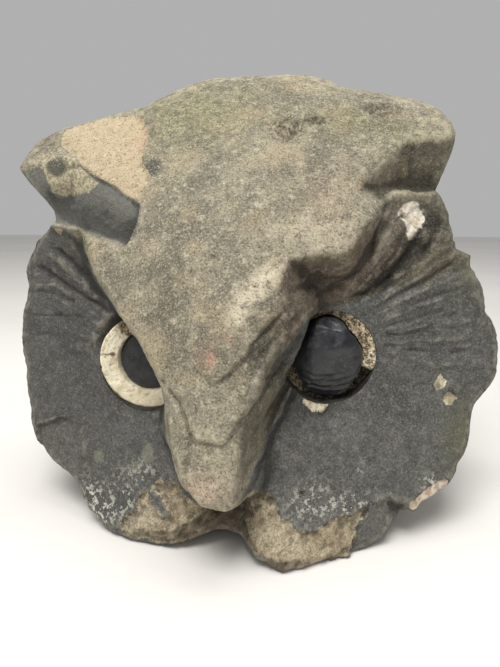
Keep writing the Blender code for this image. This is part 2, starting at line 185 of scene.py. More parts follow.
FRESH_L = ((-130, 256), (-117, 259), (-104, 263), (-86, 264), (-75, 262), (-68, 252), (-66, 245), (-68, 238), (-67, 230), (-60, 223), (-60, 218),
           (-63, 211), (-66, 208), (-73, 209), (-81, 215), (-92, 220), (-100, 224), (-108, 228), (-112, 234), (-121, 239), (-127, 244), (-130, 251))
STAIN_L = ((-137, 234), (-130, 236), (-113, 234), (-107, 227), (-97, 218), (-99, 214), (-114, 211), (-127, 209), (-132, 213), (-135, 221), (-137, 228))
WORN_L = ((-64, 30), (-56, 35), (-39, 39), (-34, 36), (-23, 29), (-11, 36), (-10, 19), (-24, 12), (-35, 4), (-50, 2), (-66, 2), (-74, 5), (-72, 11), (-69, 20))
TONGUE_L = ((-58, 33), (-51, 33), (-44, 27), (-38, 20), (-46, 19), (-53, 24))
WORN_R = ((6, 50), (16, 38), (23, 34), (26, 27), (31, 26), (29, 22), (40, 20), (50, 19), (56, 23), (66, 22), (73, 25), (77, 26), (76, 22), (70, 16), (70, 7),
          (64, 0), (44, -4), (23, -4), (12, 8), (4, 14), (0, 22))
DARK_FACET = ((78, 28), (88, 29.5), (95, 27.5), (102, 26), (108, 14), (100, -4), (82, -8), (66, -8), (69, 8), (73, 19))
EDGE_CHIP = ((104, 27), (111, 31), (119, 36), (127, 39), (129, 35), (121, 28), (111, 22), (104, 23))
CREAM_A = ((118, 95), (122, 101), (127, 97), (125, 93), (120, 91))
CREAM_B = ((124, 88), (129, 91), (134, 86), (130, 82), (126, 83))
WHITE_CHIP = ((93, 205), (99, 207), (106, 202), (109, 195), (105, 188), (100, 184), (96, 188), (95, 195), (91, 200))
FLAKE_L = ((-146, 56), (-121, 66), (-110, 62), (-107, 35), (-115, 28), (-140, 32))
CHUNK = ((35, 94), (41, 91), (46, 87.5), (51.5, 88), (52.5, 85), (48.5, 80.5), (43, 81), (38, 85))
CHIP_EAR_L = ((-130, 190), (-121, 189), (-126, 184))
BROWN = ((24, 171), (44, 174), (59, 178), (67, 188), (78, 197), (75, 176), (65, 156), (53, 147), (40, 140), (33, 130), (29, 124), (22, 134), (19, 150))
PALE = ((-2, 150), (2, 160), (14, 169), (23, 172), (21, 165), (11, 154), (5, 146), (-2, 143))
PINK = ((73, 180), (92, 203), (104, 190), (96, 176), (84, 161), (66, 150), (61, 159))

# notches in the outline: bearing in degrees round CENTRE, half-width in degrees, depth
NOTCHES = ((-24.0, 2.2, 0.8), (-31.0, 1.4, 1.0), (-38.5, 2.0, 0.8), (-47.0, 1.6, 1.2), (-56.0, 2.2, 1.0), (3.0, 1.5, 0.8),
           (12.0, 1.4, 0.8), (20.0, 1.6, 0.8), (27.5, 1.2, 0.6), (163.0, 1.6, 1.0), (170.0, 1.2, 0.8), (176.0, 1.3, 1.0), (184.0, 1.6, 0.8),
           (194.0, 2.0, 1.0), (203.0, 1.8, 1.0), (212.0, 1.8, 1.0), (224.0, 1.6, 0.8), (232.0, 1.6, 0.8))



def smoothstep(a, b, x):
    """From 0 at a to 1 at b; a may be the larger."""
    t = np.clip((x - a) / (b - a), 0.0, 1.0)
    return t * t * (3 - 2 * t)


def smax(a, b, k):
    h = np.clip(0.5 + 0.5 * (a - b) / k, 0.0, 1.0)
    return b + (a - b) * h + k * h * (1 - h)


def smin(a, b, k):
    return -smax(-a, -b, k)


def bump(x, z, cx, cz, rx, rz):
    return np.exp(-(((x - cx) / rx) ** 2 + ((z - cz) / rz) ** 2))


def line_distance(x, z, points):
    """Distance to a run of straight stretches, and how far along it (0 to 1) the nearest place lies."""
    best = np.full(x.shape, 1e9)
    along = np.zeros(x.shape)
    lengths = [math.dist(a, b) for a, b in zip(points, points[1:])]
    total, done = sum(lengths), 0.0
    for (x1, z1), (x2, z2), length in zip(points, points[1:], lengths):
        dx, dz = x2 - x1, z2 - z1
        t = np.clip(((x - x1) * dx + (z - z1) * dz) / length**2, 0, 1)
        d = np.hypot(x - x1 - t * dx, z - z1 - t * dz)
        near = d < best
        best = np.where(near, d, best)
        along = np.where(near, (done + t * length) / total, along)
        done += length
    return best, along


def crease(x, z, points, width, height, sharp=False):
    """A ridge (or a groove, with a negative height) along a run of points, fading at its ends."""
    d, t = line_distance(x, z, points)
    shape = np.exp(-d / width) if sharp else np.exp(-((d / width) ** 2))
    return height * shape * smoothstep(0, 0.15, t) * (1 - smoothstep(0.8, 1.0, t))


def outside(x, z, polygon):
    """Signed distance to a closed polygon, positive outside."""
    d, _ = line_distance(x, z, tuple(polygon) + (polygon[0],))
    inside = np.zeros(x.shape, bool)
    for (x1, z1), (x2, z2) in zip(polygon, polygon[1:] + polygon[:1]):
        if z1 == z2:
            continue
        cross = (z1 > z) != (z2 > z)
        inside ^= cross & (x < (x2 - x1) * (z - z1) / (z2 - z1) + x1)
    return np.where(inside, -d, d)


def radius_at(angles, radii):
    n = len(radii)
    r = np.asarray(radii, float)
    f = np.mod(angles / (2 * np.pi) * n, n)
    i = np.floor(f).astype(int) % n
    t = f - np.floor(f)
    t = t * t * (3 - 2 * t)
    return r[i] * (1 - t) + r[(i + 1) % n] * t


def disc_reach(c, s, centre, radii):
    reach = np.full(c.shape, 100.0)
    for _ in range(12):
        x = CENTRE[0] + reach * c - centre[0]
        z = CENTRE[1] + reach * s - centre[1]
        reach = reach + 0.8 * (radius_at(np.arctan2(z, x), radii) - np.hypot(x, z))
    return reach


def edge_reach(angles, points):
    reach = np.zeros(angles.shape)
    turn = np.mod(angles + np.pi / 2, 2 * np.pi)
    at = [math.fmod(math.atan2(z - CENTRE[1], x - CENTRE[0]) + 2.5 * math.pi, 2 * math.pi) for x, z in points]
    for (x1, z1), (x2, z2), a1, a2 in zip(points, points[1:], at, at[1:]):
        nx, nz = z1 - z2, x2 - x1
        k = nx * (x1 - CENTRE[0]) + nz * (z1 - CENTRE[1])
        dot = nx * np.cos(angles) + nz * np.sin(angles)
        met = (turn <= a1) & (turn >= a2)
        reach = np.where(met, k / np.where(met, dot, 1), reach)
    return reach


def outline(angles):
    c, s = np.cos(angles), np.sin(angles)
    r = smax(disc_reach(c, s, DISC_R_CENTRE, DISC_R_RADII), disc_reach(c, s, DISC_L_CENTRE, DISC_L_RADII), LOBE_WEB)
    for run in (CHEEK_L, CHEEK_R, EAR_BAR, CAP):
        r = smax(r, edge_reach(angles, run), 1.2)
    bearing = (np.degrees(angles) - 100) % 360 + 100
    return r - sum(depth * np.exp(-(((bearing - at) / half) ** 2)) for at, half, depth in RIM_CHIPS)


def bed_outline(angles):
    """The flat back: a rounded block, kept inside the front's outline."""
    c, s = np.cos(angles), np.sin(angles)
    lo, hi = np.zeros(c.shape), np.full(c.shape, 260.0)
    for _ in range(30):
        mid = 0.5 * (lo + hi)
        within = (np.abs(mid * c) / 128.0) ** 3.2 + (np.abs(CENTRE[1] + mid * s - 149.0) / 136.0) ** 3.2 < 1
        lo, hi = np.where(within, mid, lo), np.where(within, hi, mid)
    return np.minimum(lo, outline(angles) * 0.97 - 1.0)


def disc_depth(x, z):
    across = np.sqrt(x**2 + 14.0**2) - 56.0
    up = z - 112.0
    rise = -DISC_FALL_UP * up + (DISC_RISE_DOWN - DISC_FALL_UP) * (smax(-up, 0.0 * up, 30.0))
    d = DISC_DEPTH - DISC_FALL_OUT * across + rise
    for cx, cz in (EYE_R, EYE_L):
        near = 0.8 * np.exp(-((np.hypot(x - cx, z - cz) / EYE_BED_RADIUS) ** 4))
        d = d + near * (EYE_BED_DEPTH - d)
    return d


def wedge_depth(x, z):
    crown = CROWN_EDGE_DEPTH + CROWN_SLOPE * (CROWN_TOP_Z - z)
    beak = BEAK_DEPTH - BEAK_SLOPE * (z - BEAK_Z)
    d = smin(crown, beak, FOREHEAD_BLEND * 2)
    middle = -8.0 * (1 - smoothstep(120, 165, z))
    slope = 0.62 - 0.30 * smoothstep(90, 190, z) - 0.20 * smoothstep(185, 240, z)
    a = 12.0
    off = x - middle
    return d - slope * (np.sqrt(off**2 + a**2) - a)


# ---------------------------------------------------------------- repeatable noise


def chance(i, j, k, seed):
    """A repeatable number from 0 to 1 for each whole-numbered place."""
    h = (i * 374761393 + j * 668265263 + k * 2147483647 + seed * 1274126177) & 0xFFFFFFFF
    h = ((h ^ (h >> 13)) * 1274126177) & 0xFFFFFFFF
    h = (h ^ (h >> 16)) & 0xFFFFFF
    return h / float(0xFFFFFF)


def noise(x, y, z, size, seed):
    """Smooth noise from -1 to 1, with features of that size."""
    u, v, w = (x * 0.8 + z * 0.6) / size, (y * 0.96 + x * 0.28) / size, (z * 0.8 - x * 0.6) / size
    cell = [np.floor(a).astype(np.int64) for a in (u, v, w)]
    part = [a - np.floor(a) for a in (u, v, w)]
    part = [t * t * t * (t * (t * 6 - 15) + 10) for t in part]
    total = 0.0
    for a in (0, 1):
        for b in (0, 1):
            for c in (0, 1):
                weight = (part[0] if a else 1 - part[0]) * (part[1] if b else 1 - part[1]) * (part[2] if c else 1 - part[2])
                total = total + weight * chance(cell[0] + a, cell[1] + b, cell[2] + c, seed)
    return 2 * total - 1


def fbm(x, y, z, size, octaves, seed):
    total, amp, norm = 0.0, 1.0, 0.0
    for o in range(octaves):
        total = total + amp * noise(x, y, z, size / 2**o, seed + 17 * o)
        norm += amp
        amp *= 0.55
    return total / norm


def cells(x, y, z, size, seed):
    """Scattered points: distance to the nearest and to the second, in cell sizes, and a number for the nearest."""
    u, v, w = x / size, y / size, z / size
    i, j, k = (np.floor(a).astype(np.int64) for a in (u, v, w))
    first = np.full(u.shape, 9.0)
    second = np.full(u.shape, 9.0)
    number = np.zeros(u.shape)
    for a in (-1, 0, 1):
        for b in (-1, 0, 1):
            for c in (-1, 0, 1):
                ci, cj, ck = i + a, j + b, k + c
                px = ci + chance(ci, cj, ck, seed)
                py = cj + chance(ci, cj, ck, seed + 1)
                pz = ck + chance(ci, cj, ck, seed + 2)
                d = np.sqrt((px - u) ** 2 + (py - v) ** 2 + (pz - w) ** 2)
                near = d < first
                second = np.where(near, first, np.minimum(second, d))
                number = np.where(near, chance(ci, cj, ck, seed + 3), number)
                first = np.where(near, d, first)
    return first, second, number


# ---------------------------------------------------------------- patches


def patch(x, z, polygon, rough=0.0, size=6.0, seed=1):
    """Signed distance in mm, positive inside, of a patch with a ragged edge."""
    d = -outside(x, z, polygon)
    if rough:
        d = d + rough * fbm(x, 0 * x, z, size, 3, seed)
    return d


def patches(x, z):
    """Every named patch, for the relief and for the colours."""
    p = {
        "fresh": patch(x, z, FRESH_L, 1.6, 9, 11),
        "white": patch(x, z, WHITE_CHIP, 2.0, 6, 12),
        "cream": np.maximum(patch(x, z, CREAM_A, 1.0, 4, 13), patch(x, z, CREAM_B, 1.0, 4, 14)),
        "edge": patch(x, z, EDGE_CHIP, 1.2, 6, 15),
        "worn": np.maximum(patch(x, z, WORN_L, 5.5, 9, 16), patch(x, z, WORN_R, 4.5, 8, 17)),
        "facet": patch(x, z, DARK_FACET, 1.0, 9, 18),
        "flake": patch(x, z, FLAKE_L, 2.0, 8, 19),
        "stain": patch(x, z, STAIN_L, 2.6, 7, 20),
        "ear_l": patch(x, z, FACET_L, 0.7, 7, 21),
        "chunk": patch(x, z, CHUNK, 1.6, 4, 25),
        "ear_chip": patch(x, z, CHIP_EAR_L, 1.0, 4, 22),
    }
    p["worn"] = np.minimum(p["worn"], -patch(x, z, TONGUE_L, 2.5, 7, 23))
    p["worn"] = np.maximum(p["worn"], 1.2 - 9 * np.hypot((x - 38) / 9, (z - 38) / 7) + 4.5 * fbm(x, 0 * x, z, 4, 2, 24))
    return p


def carve(x, z, p):
    """The head's depth with its wear."""
    d = smin(disc_depth(x, z), wedge_depth(x, z) - EAR_SETBACK + 70.0 * smoothstep(192, 150, z), 5.0)
    ragged = fbm(x, 0 * x, z, 11, 3, 31)
    out = outside(x, z, WEDGE) + 1.1 * ragged
    crisp = smoothstep(-12, 6, x) * smoothstep(205, 185, z)
    edge = 4.6 - 2.6 * crisp
    fall = SIDE_FALL * smax(out, 0 * out, edge)
    low = smoothstep(70, 50, z)
    by_beak = smoothstep(122, 92, z) * smoothstep(-6, 4, x)
    by_eye = bump(x, z, -62, 112, 26, 30)
    brow = bump(x, z, 36, 146, 12, 10)
    wedge = wedge_depth(x, z) - fall * (1 + 0.9 * low * (1 - by_beak) + 0.42 * by_beak + 1.3 * by_eye - 0.2 * brow)
    d = smax(d, wedge, 5.0 - 2.4 * crisp)
    d = d - 20.0 * bump(x, z, -5, 24, 18, 20)
    d = d + LOBE_SWELL_R * bump(x, z, 28, 2, 30, 22) + LOBE_SWELL_L * bump(x, z, -48, 2, 30, 18)
    # face under the left ear
    top, _ = line_distance(x, z, FACET_L[:9])
    soft = 0.8 + 5.0 * smoothstep(-104, -128, x)
    d = d - EAR_CUT * smoothstep(soft, -soft, outside(x, z, FACET_L) + 0.5 * ragged) * (0.25 + 0.75 * smoothstep(0, 26, top))
    # face under the right ear: flat, leaning out over the crease at its foot
    plane = 70.0 + 0.68 * np.maximum(100 - x, 0) - 0.20 * np.maximum(x - 100, 0) + 1.1 * fbm(x, 0 * x, z, 13, 3, 35) + 0.6 * fbm(x, 0 * x, z, 4, 2, 37)
    plane = plane + 0.10 * np.maximum(100 - x, 0)
    within = smoothstep(1.4, -1.4, outside(x, z, FACET_R) + 2.4 * fbm(x, 0 * x, z, 8, 3, 36))
    d = d + (plane - d) * within
    d = d - 2.2 * smoothstep(1.5, -1.5, outside(x, z, BEAK_FACE) + 1.4 * fbm(x, 0 * x, z, 8, 3, 32))
    wob_x = x + 1.6 * fbm(x, 0 * x, z, 9, 2, 33)
    wob_z = z + 1.6 * fbm(x, 0 * x, z, 9, 2, 34)
    for run, width, height, sharp in FOLDS:
        d = d + crease(wob_x, wob_z, run, width, height, sharp)
    below, t = line_distance(wob_x, wob_z, BRIDGE)
    under = outside(wob_x, wob_z, BRIDGE + ((24, 175), (-30, 175)))
    firm = 0.45 + 0.55 * smoothstep(0.25, 0.5, t)
    d = d - 3.0 * firm * smoothstep(-0.8, 1.4, under) * np.exp(-np.maximum(under, 0) / 8) * smoothstep(0, 0.12, t) * smoothstep(1.0, 0.85, t)
    # dark hollow at the left socket's upper left
    far = np.hypot(x - EYE_L[0], z - EYE_L[1])
    bearing = np.degrees(np.arctan2(z - EYE_L[1], x - EYE_L[0])) % 360
    d = d - 7.5 * smoothstep(39, 31, far) * smoothstep(96, 122, bearing) * smoothstep(184, 150, bearing)
    # the lobes turn under
    for run, lean in TURNS:
        gap, _ = line_distance(wob_x, wob_z, run)
        lower = outside(wob_x, wob_z, run + ((run[-1][0] + 30, -40), (run[0][0] - 30, -40)))
        window = smoothstep(run[0][0] - 8, run[0][0] + 3, x) * smoothstep(run[-1][0] + 8, run[-1][0] - 3, x)
        d = d - lean * np.clip(gap - 0.4, 0, 12) * (lower < 0) * window
    # feathering that fans out from each eye
    for (cx, cz), start, end, count, depth, seed in (((40, 122), -12, 62, 46, 0.95, 41), ((-52, 112), 118, 186, 34, 0.7, 42)):
        bearing = np.degrees(np.arctan2(z - cz, x - cx)) % 360
        bearing = np.where(bearing > 270, bearing - 360, bearing)
        far = np.hypot(x - cx, z - cz)
        within = smoothstep(start - 8, start + 8, bearing) * smoothstep(end + 6, end - 8, bearing)
        within = within * smoothstep(38, 54, far) * smoothstep(118, 92, far) * smoothstep(0.5, 6, out)
        wave = np.sin(np.radians(bearing) * count + 2.4 * fbm(x, 0 * x, z, 24, 2, seed) + far * 0.02)
        fine = np.sin(np.radians(bearing) * count * 2.3 + 3.5 * fbm(x, 0 * x, z, 18, 2, seed + 5))
        d = d + within * depth * (0.7 * wave - 0.3 * wave**2 + 0.45 * fine) * (0.55 + 0.6 * fbm(x, 0 * x, z, 16, 2, seed + 9))
    # broken places
    grain = fbm(x, 0 * x, z, 3.2, 2, 51)
    crumb, second, number = cells(x, 0 * x, z, 7.0, 61)
    lump = (0.5 - crumb) * 1.4 + 0.6 * number
    d = d - smoothstep(-0.8, 0.8, p["fresh"]) * (1.3 + 0.4 * grain)
    d = d - smoothstep(-0.8, 0.8, p["white"]) * (1.4 + 0.25 * grain)
    d = d - smoothstep(-0.5, 0.5, p["cream"]) * 0.9
    d = d + smoothstep(-0.6, 0.8, p["chunk"]) * (1.2 + 0.8 * grain)
    d = d - smoothstep(-0.7, 0.7, p["ear_chip"]) * 0.9
    d = d - smoothstep(-0.7, 0.7, p["edge"]) * (0.9 + 0.4 * grain)
    d = d - smoothstep(-0.7, 0.7, p["worn"]) * (0.9 + 1.1 * (0.5 - lump) + 1.1 * grain)
    # the scoop broken out of the right lobe: a flat part, then a break that runs back to the rim
    d = d - smoothstep(-0.5, 0.5, p["facet"]) * (1.2 + 0.10 * np.clip(30 - z, 0, 34))
    break_out = outside(x, z, ((89, 30), (96, 27), (101, 26), (112, 14), (104, -10), (66, -14), (76, -4), (85, 3), (91, 14))) + 0.5 * grain
    d = d - 1.5 * np.clip(-break_out, 0, 12)
    d = d - smoothstep(-1.4, 1.4, p["flake"]) * (0.9 + 0.05 * np.clip(-108 - x, 0, 40) + 0.7 * (cells(x, 0 * x, z, 15.0, 71)[2] - 0.3))
    # pits, as little cracks and wormholes
    for cx, cz, rx, rz in PITS:
        near = np.exp(-((((x - cx) / rx) ** 2 + ((z - cz) / rz) ** 2) ** 2))
        f1, f2, _ = cells(x + 1.2 * grain, 0 * x, z, 3.6, 81)
        d = d - near * (2.3 * smoothstep(0.32, 0.02, f2 - f1) + 0.4 + 0.8 * grain)
    # crack across the white chip
    d = d + crease(x, z, ((88, 193), (92, 197), (98, 199), (106, 205)), 0.7, -1.5, True)
    return d


def worn_reach(angle):
    """The outline with its notches and flakes; they only cut in."""
    reach = outline(angle)
    c, s = np.cos(angle) * 150, np.sin(angle) * 150
    degrees = np.degrees(angle)
    cut = 0.0
    for bearing, width, depth in NOTCHES:
        off = (degrees - bearing + 180) % 360 - 180
        # steeper on one side, as a flake leaves it
        off = off * np.where(off > 0, 1.5, 0.8)
        cut = cut + depth * np.exp(-((off / width) ** 2))
    upper = smoothstep(0.42, 0.62, np.sin(angle))
    rough = 0.7 * (0.5 - 0.5 * fbm(c, 0 * c, s, 13, 3, 91)) + 1.5 * np.clip(fbm(c, 0 * c, s, 6, 2, 92) - 0.15, 0, 1)
    return reach + 1.3 - cut - rough * (1 - 0.6 * upper)


def surface(p, q):
    """Points of the wrapped grid, with the place on the front that each belongs to and how far back on the side it is."""
    ring = np.maximum(np.abs(p), np.abs(q))
    first = np.abs(p) >= np.abs(q)
    ratio = np.where(first, q / np.where(first, np.where(p == 0, 1, p), 1), p / np.where(first, 1, np.where(q == 0, 1, q)))
    swing = ratio * np.pi / 4
    angle = np.where(first, np.where(p >= 0, swing, swing + np.pi), np.where(q >= 0, np.pi / 2 - swing, 3 * np.pi / 2 - swing))
    c, s = np.cos(angle), np.sin(angle)
    reach = worn_reach(angle)
    bed = bed_outline(angle)
    inner = np.minimum(ring, 1.0)
    x0 = CENTRE[0] + inner * reach * c
    z0 = CENTRE[1] + inner * reach * s
    marks = patches(x0, z0)
    depth = carve(x0, z0, marks)
    rim_z = CENTRE[1] + reach * s
    rounding = 5.0 + 6.0 * smoothstep(190, 225, rim_z)
    t = np.clip((inner - (1 - RIM_BAND)) / RIM_BAND, 0, 1)
    depth = depth - rounding * (1 - np.sqrt(np.maximum(1 - t**2, 0)))
    w = np.clip(ring - 1.0, 0, 1)
    radial = reach + (bed - reach) * smoothstep(0.0, 1.0, w)
    x = np.where(ring > 1, CENTRE[0] + radial * c, x0)
    z = np.where(ring > 1, CENTRE[1] + radial * s, z0)
    depth = np.where(ring > 1, depth * (1 - w), depth)
    return np.stack([x, -depth, z - BED_CENTRE_Z], -1), x0, z0, w, marks


def blurred(grid, radius):
    """Box blur of a square grid of points, twice."""
    out = grid
    for _ in range(2):
        for axis in (0, 1):
            pad = [(0, 0)] * out.ndim
            pad[axis] = (radius, radius)
            wide = np.pad(out, pad, mode="edge")
            total = 0.0
            for k in range(2 * radius + 1):
                total = total + (wide[k : k + out.shape[0]] if axis == 0 else wide[:, k : k + out.shape[1]])
            out = total / (2 * radius + 1)
    return out


def vertex_normals(mesh):
    n = np.empty(len(mesh.vertices) * 3, np.float32)
    mesh.vertex_normals.foreach_get("vector", n)
    return n.reshape(-1, 3).astype(float)


def positions(mesh):
    co = np.empty(len(mesh.vertices) * 3, np.float32)
    mesh.vertices.foreach_get("co", co)
    return co.reshape(-1, 3).astype(float)


def new_object(name, verts, faces, mat):
    """A closed mesh from computed points, with its faces turned outwards and shaded smooth."""
    mesh = bpy.data.meshes.new(name)
    mesh.from_pydata([tuple(v) for v in verts], [], faces)
    bm = bmesh.new()
    bm.from_mesh(mesh)
    bmesh.ops.recalc_face_normals(bm, faces=bm.faces)
    bm.to_mesh(mesh)
    bm.free()
    mesh.polygons.foreach_set("use_smooth", [True] * len(mesh.polygons))
    mesh.update()
    obj = bpy.data.objects.new(name, mesh)
    bpy.context.scene.collection.objects.link(obj)
    mesh.materials.append(mat)
    return obj


def set_attribute(mesh, name, values):
    attribute = mesh.attributes.get(name) or mesh.attributes.new(name, "FLOAT", "POINT")
    attribute.data.foreach_set("value", np.asarray(values, np.float32))


def drill(name, centre, radius, mat):
    """A round cutter along Y."""
    sides = 180
    bm = bmesh.new()
    bmesh.ops.create_cone(bm, cap_ends=True, segments=sides, radius1=1.0, radius2=1.0, depth=1.0)
    for v in bm.verts:
        a = math.atan2(v.co.y, v.co.x)
        r = radius
        deep = SOCKET_TOP if v.co.z > 0 else SOCKET_FLOOR
        v.co = Vector(((centre[0] + r * math.cos(a)) * MM, -deep * MM, (centre[1] + r * math.sin(a) - BED_CENTRE_Z) * MM))
    bmesh.ops.recalc_face_normals(bm, faces=bm.faces)
    mesh = bpy.data.meshes.new(name)
    bm.to_mesh(mesh)
    bm.free()
    mesh.materials.append(mat)
    obj = bpy.data.objects.new(name, mesh)
    bpy.context.scene.collection.objects.link(obj)
    return obj


def make_head(mat, socket_mat):
    cells_across = FRONT_CELLS + 2 * SIDE_RINGS
    full = cells_across / FRONT_CELLS
    line = np.linspace(-full, full, cells_across + 1)
    p, q = np.meshgrid(line, line, indexing="ij")
    ring = np.maximum(np.abs(p), np.abs(q))
    scale = np.where(ring > 1, (1 + (ring - 1) / (full - 1)) / np.maximum(ring, 1e-9), 1.0)
    points, x0, z0, w, marks = surface(p * scale, q * scale)
    n = cells_across + 1
    index = np.arange(n * n).reshape(n, n)
    quads = np.stack([index[:-1, :-1], index[1:, :-1], index[1:, 1:], index[:-1, 1:]], -1).reshape(-1, 4)
    verts = points.reshape(-1, 3) * MM
    faces = [tuple(int(i) for i in f) for f in quads]
    # the bed: rings drawn in from the last one, and a flat middle
    border = np.concatenate([index[:, 0], index[-1, 1:], index[-2::-1, -1], index[0, -2:0:-1]])
    last = border
    middle = np.array([0.0, 0.0, -5.0]) * MM
    extra = []
    count = len(verts)
    for k in range(1, BED_RINGS + 1):
        share = 1 - (k / (BED_RINGS + 0.6)) ** 1.1
        loop = middle + (verts[border] - middle) * share
        loop[:, 1] = 0.0
        new = np.arange(count, count + len(border))
        extra.append(loop)
        count += len(border)
        for i in range(len(border)):
            j = (i + 1) % len(border)
            faces.append((int(last[i]), int(new[i]), int(new[j]), int(last[j])))
        last = new
    faces.append(tuple(int(i) for i in last))
    verts = np.concatenate([verts] + extra)
    head = new_object("stone_head_carved", verts, faces, mat)
    mesh = head.data

    # grain and tooling, cut in along the surface's own direction
    normals = vertex_normals(mesh)
    co = positions(mesh) / MM
    x, y, z = co.T
    grid_count = n * n
    side = np.concatenate([w.reshape(-1), np.ones(len(verts) - grid_count)])
    bed = np.zeros(len(verts))
    bed[grid_count:] = 1.0
    worn = np.concatenate([marks["worn"].reshape(-1), np.full(len(verts) - grid_count, -50.0)])
    soft = 0.5 - 0.5 * fbm(x, y, z, 34, 2, 101)
    mid = 0.5 - 0.5 * fbm(x, y, z, 9, 3, 102)
    fine = 0.5 - 0.5 * noise(x, y, z, 2.6, 103)
    cut = 1.1 * soft + 0.75 * mid + 0.35 * fine
    crumbly = smoothstep(-0.5, 1.0, worn) * (1 - np.clip(side * 3, 0, 1))
    cut = cut + crumbly * (1.2 * (0.5 - 0.5 * fbm(x, y, z, 5, 3, 104)))
    # point-chisel strokes on the flanks, running slantwise round the block
    along = np.arctan2(z - (CENTRE[1] - BED_CENTRE_Z), x) * 150 + y * 0.9
    stroke = np.sin(along / 11.0 * 2 * np.pi + 2.2 * fbm(x, y, z, 30, 2, 105))
    tooled = smoothstep(0.05, 0.25, side) * (1 - bed)
    cut = cut + tooled * (0.9 * (0.5 - 0.5 * stroke) * (0.5 + 0.5 * noise(x, y, z, 17, 106)) + 0.8 * (0.5 - 0.5 * fbm(x, y, z, 16, 3, 107)))
    flat = np.sin((x * 0.8 + z * 0.6) / 9.0 * 2 * np.pi + 1.8 * fbm(x, y, z, 26, 2, 108))
    cut = np.where(bed > 0, 0.25 + 0.5 * (0.5 - 0.5 * flat) * (0.5 + 0.5 * noise(x, y, z, 20, 109)) + 0.35 * mid, cut)
    near_bed = smoothstep(1.0, 0.9, side) + bed
    cut = cut - np.where(bed > 0, 0.0, 0.9)
    cut = cut * np.where(bed > 0, 1.0, np.clip(near_bed, 0, 1))
    moved = (co - normals * cut[:, None]) * MM
    low, high = (np.array(c) for c in cad_box)
    moved = np.clip(moved, low + 0.00005, high - 0.00005)
    moved[:, 1] = np.minimum(moved[:, 1], 0.0)
    mesh.vertices.foreach_set("co", moved.astype(np.float32).reshape(-1))
    mesh.update()

    # hollows and edges, for the painted shade in the hollows and the wear on the edges
    grid = moved[:grid_count].reshape(n, n, 3) / MM
    normal_grid = vertex_normals(mesh)[:grid_count].reshape(n, n, 3)
    scale_cells = FRONT_CELLS / 236
    near_r, far_r = max(1, round(2 * scale_cells)), max(2, round(8 * scale_cells))
    near = ((blurred(grid, near_r) - grid) * normal_grid).sum(-1)
    far = ((blurred(grid, far_r) - grid) * normal_grid).sum(-1)
    fields = {"near": near, "far": far, "side": w, "front_x": x0, "front_z": z0}
    for key, values in marks.items():
        fields[key] = values
    fields = {k: np.concatenate([v.reshape(-1), np.full(len(verts) - grid_count, {"side": 1.0, "near": 0.0, "far": 0.0}.get(k, 0.0))]) for k, v in fields.items()}
    for key in marks:
        fields[key][grid_count:] = -50.0
    fields["front_x"][grid_count:] = np.tile(x0.reshape(-1)[border], BED_RINGS)
    fields["front_z"][grid_count:] = np.tile(z0.reshape(-1)[border], BED_RINGS)
    fields["bed"] = bed

    before = moved.copy()
    for name, centre, radius in (("socket_left", EYE_L, SOCKET_L), ("socket_right", EYE_R, SOCKET_R)):
        cutter = drill(name, centre, radius, socket_mat)
        mod = head.modifiers.new(name, "BOOLEAN")
        mod.operation = "DIFFERENCE"
        mod.solver = "EXACT"
        mod.object = cutter
        mod.material_mode = "TRANSFER"
    bpy.context.view_layer.update()
    graph = bpy.context.evaluated_depsgraph_get()
    done = bpy.data.meshes.new_from_object(head.evaluated_get(graph), preserve_all_data_layers=True, depsgraph=graph)
    old = head.data
    head.modifiers.clear()
    head.data = done
    bpy.data.meshes.remove(old)
    done.name = "stone_head_carved"
    for name in ("socket_left", "socket_right"):
        bpy.data.objects.remove(bpy.data.objects[name])

    tree = KDTree(len(before))
    for i, v in enumerate(before):
        tree.insert(v, i)
    tree.balance()
    source = np.array([tree.find(v.co)[1] for v in done.vertices])
    fields = {k: v[source] for k, v in fields.items()}
    colour_fields(done, fields)
    return head


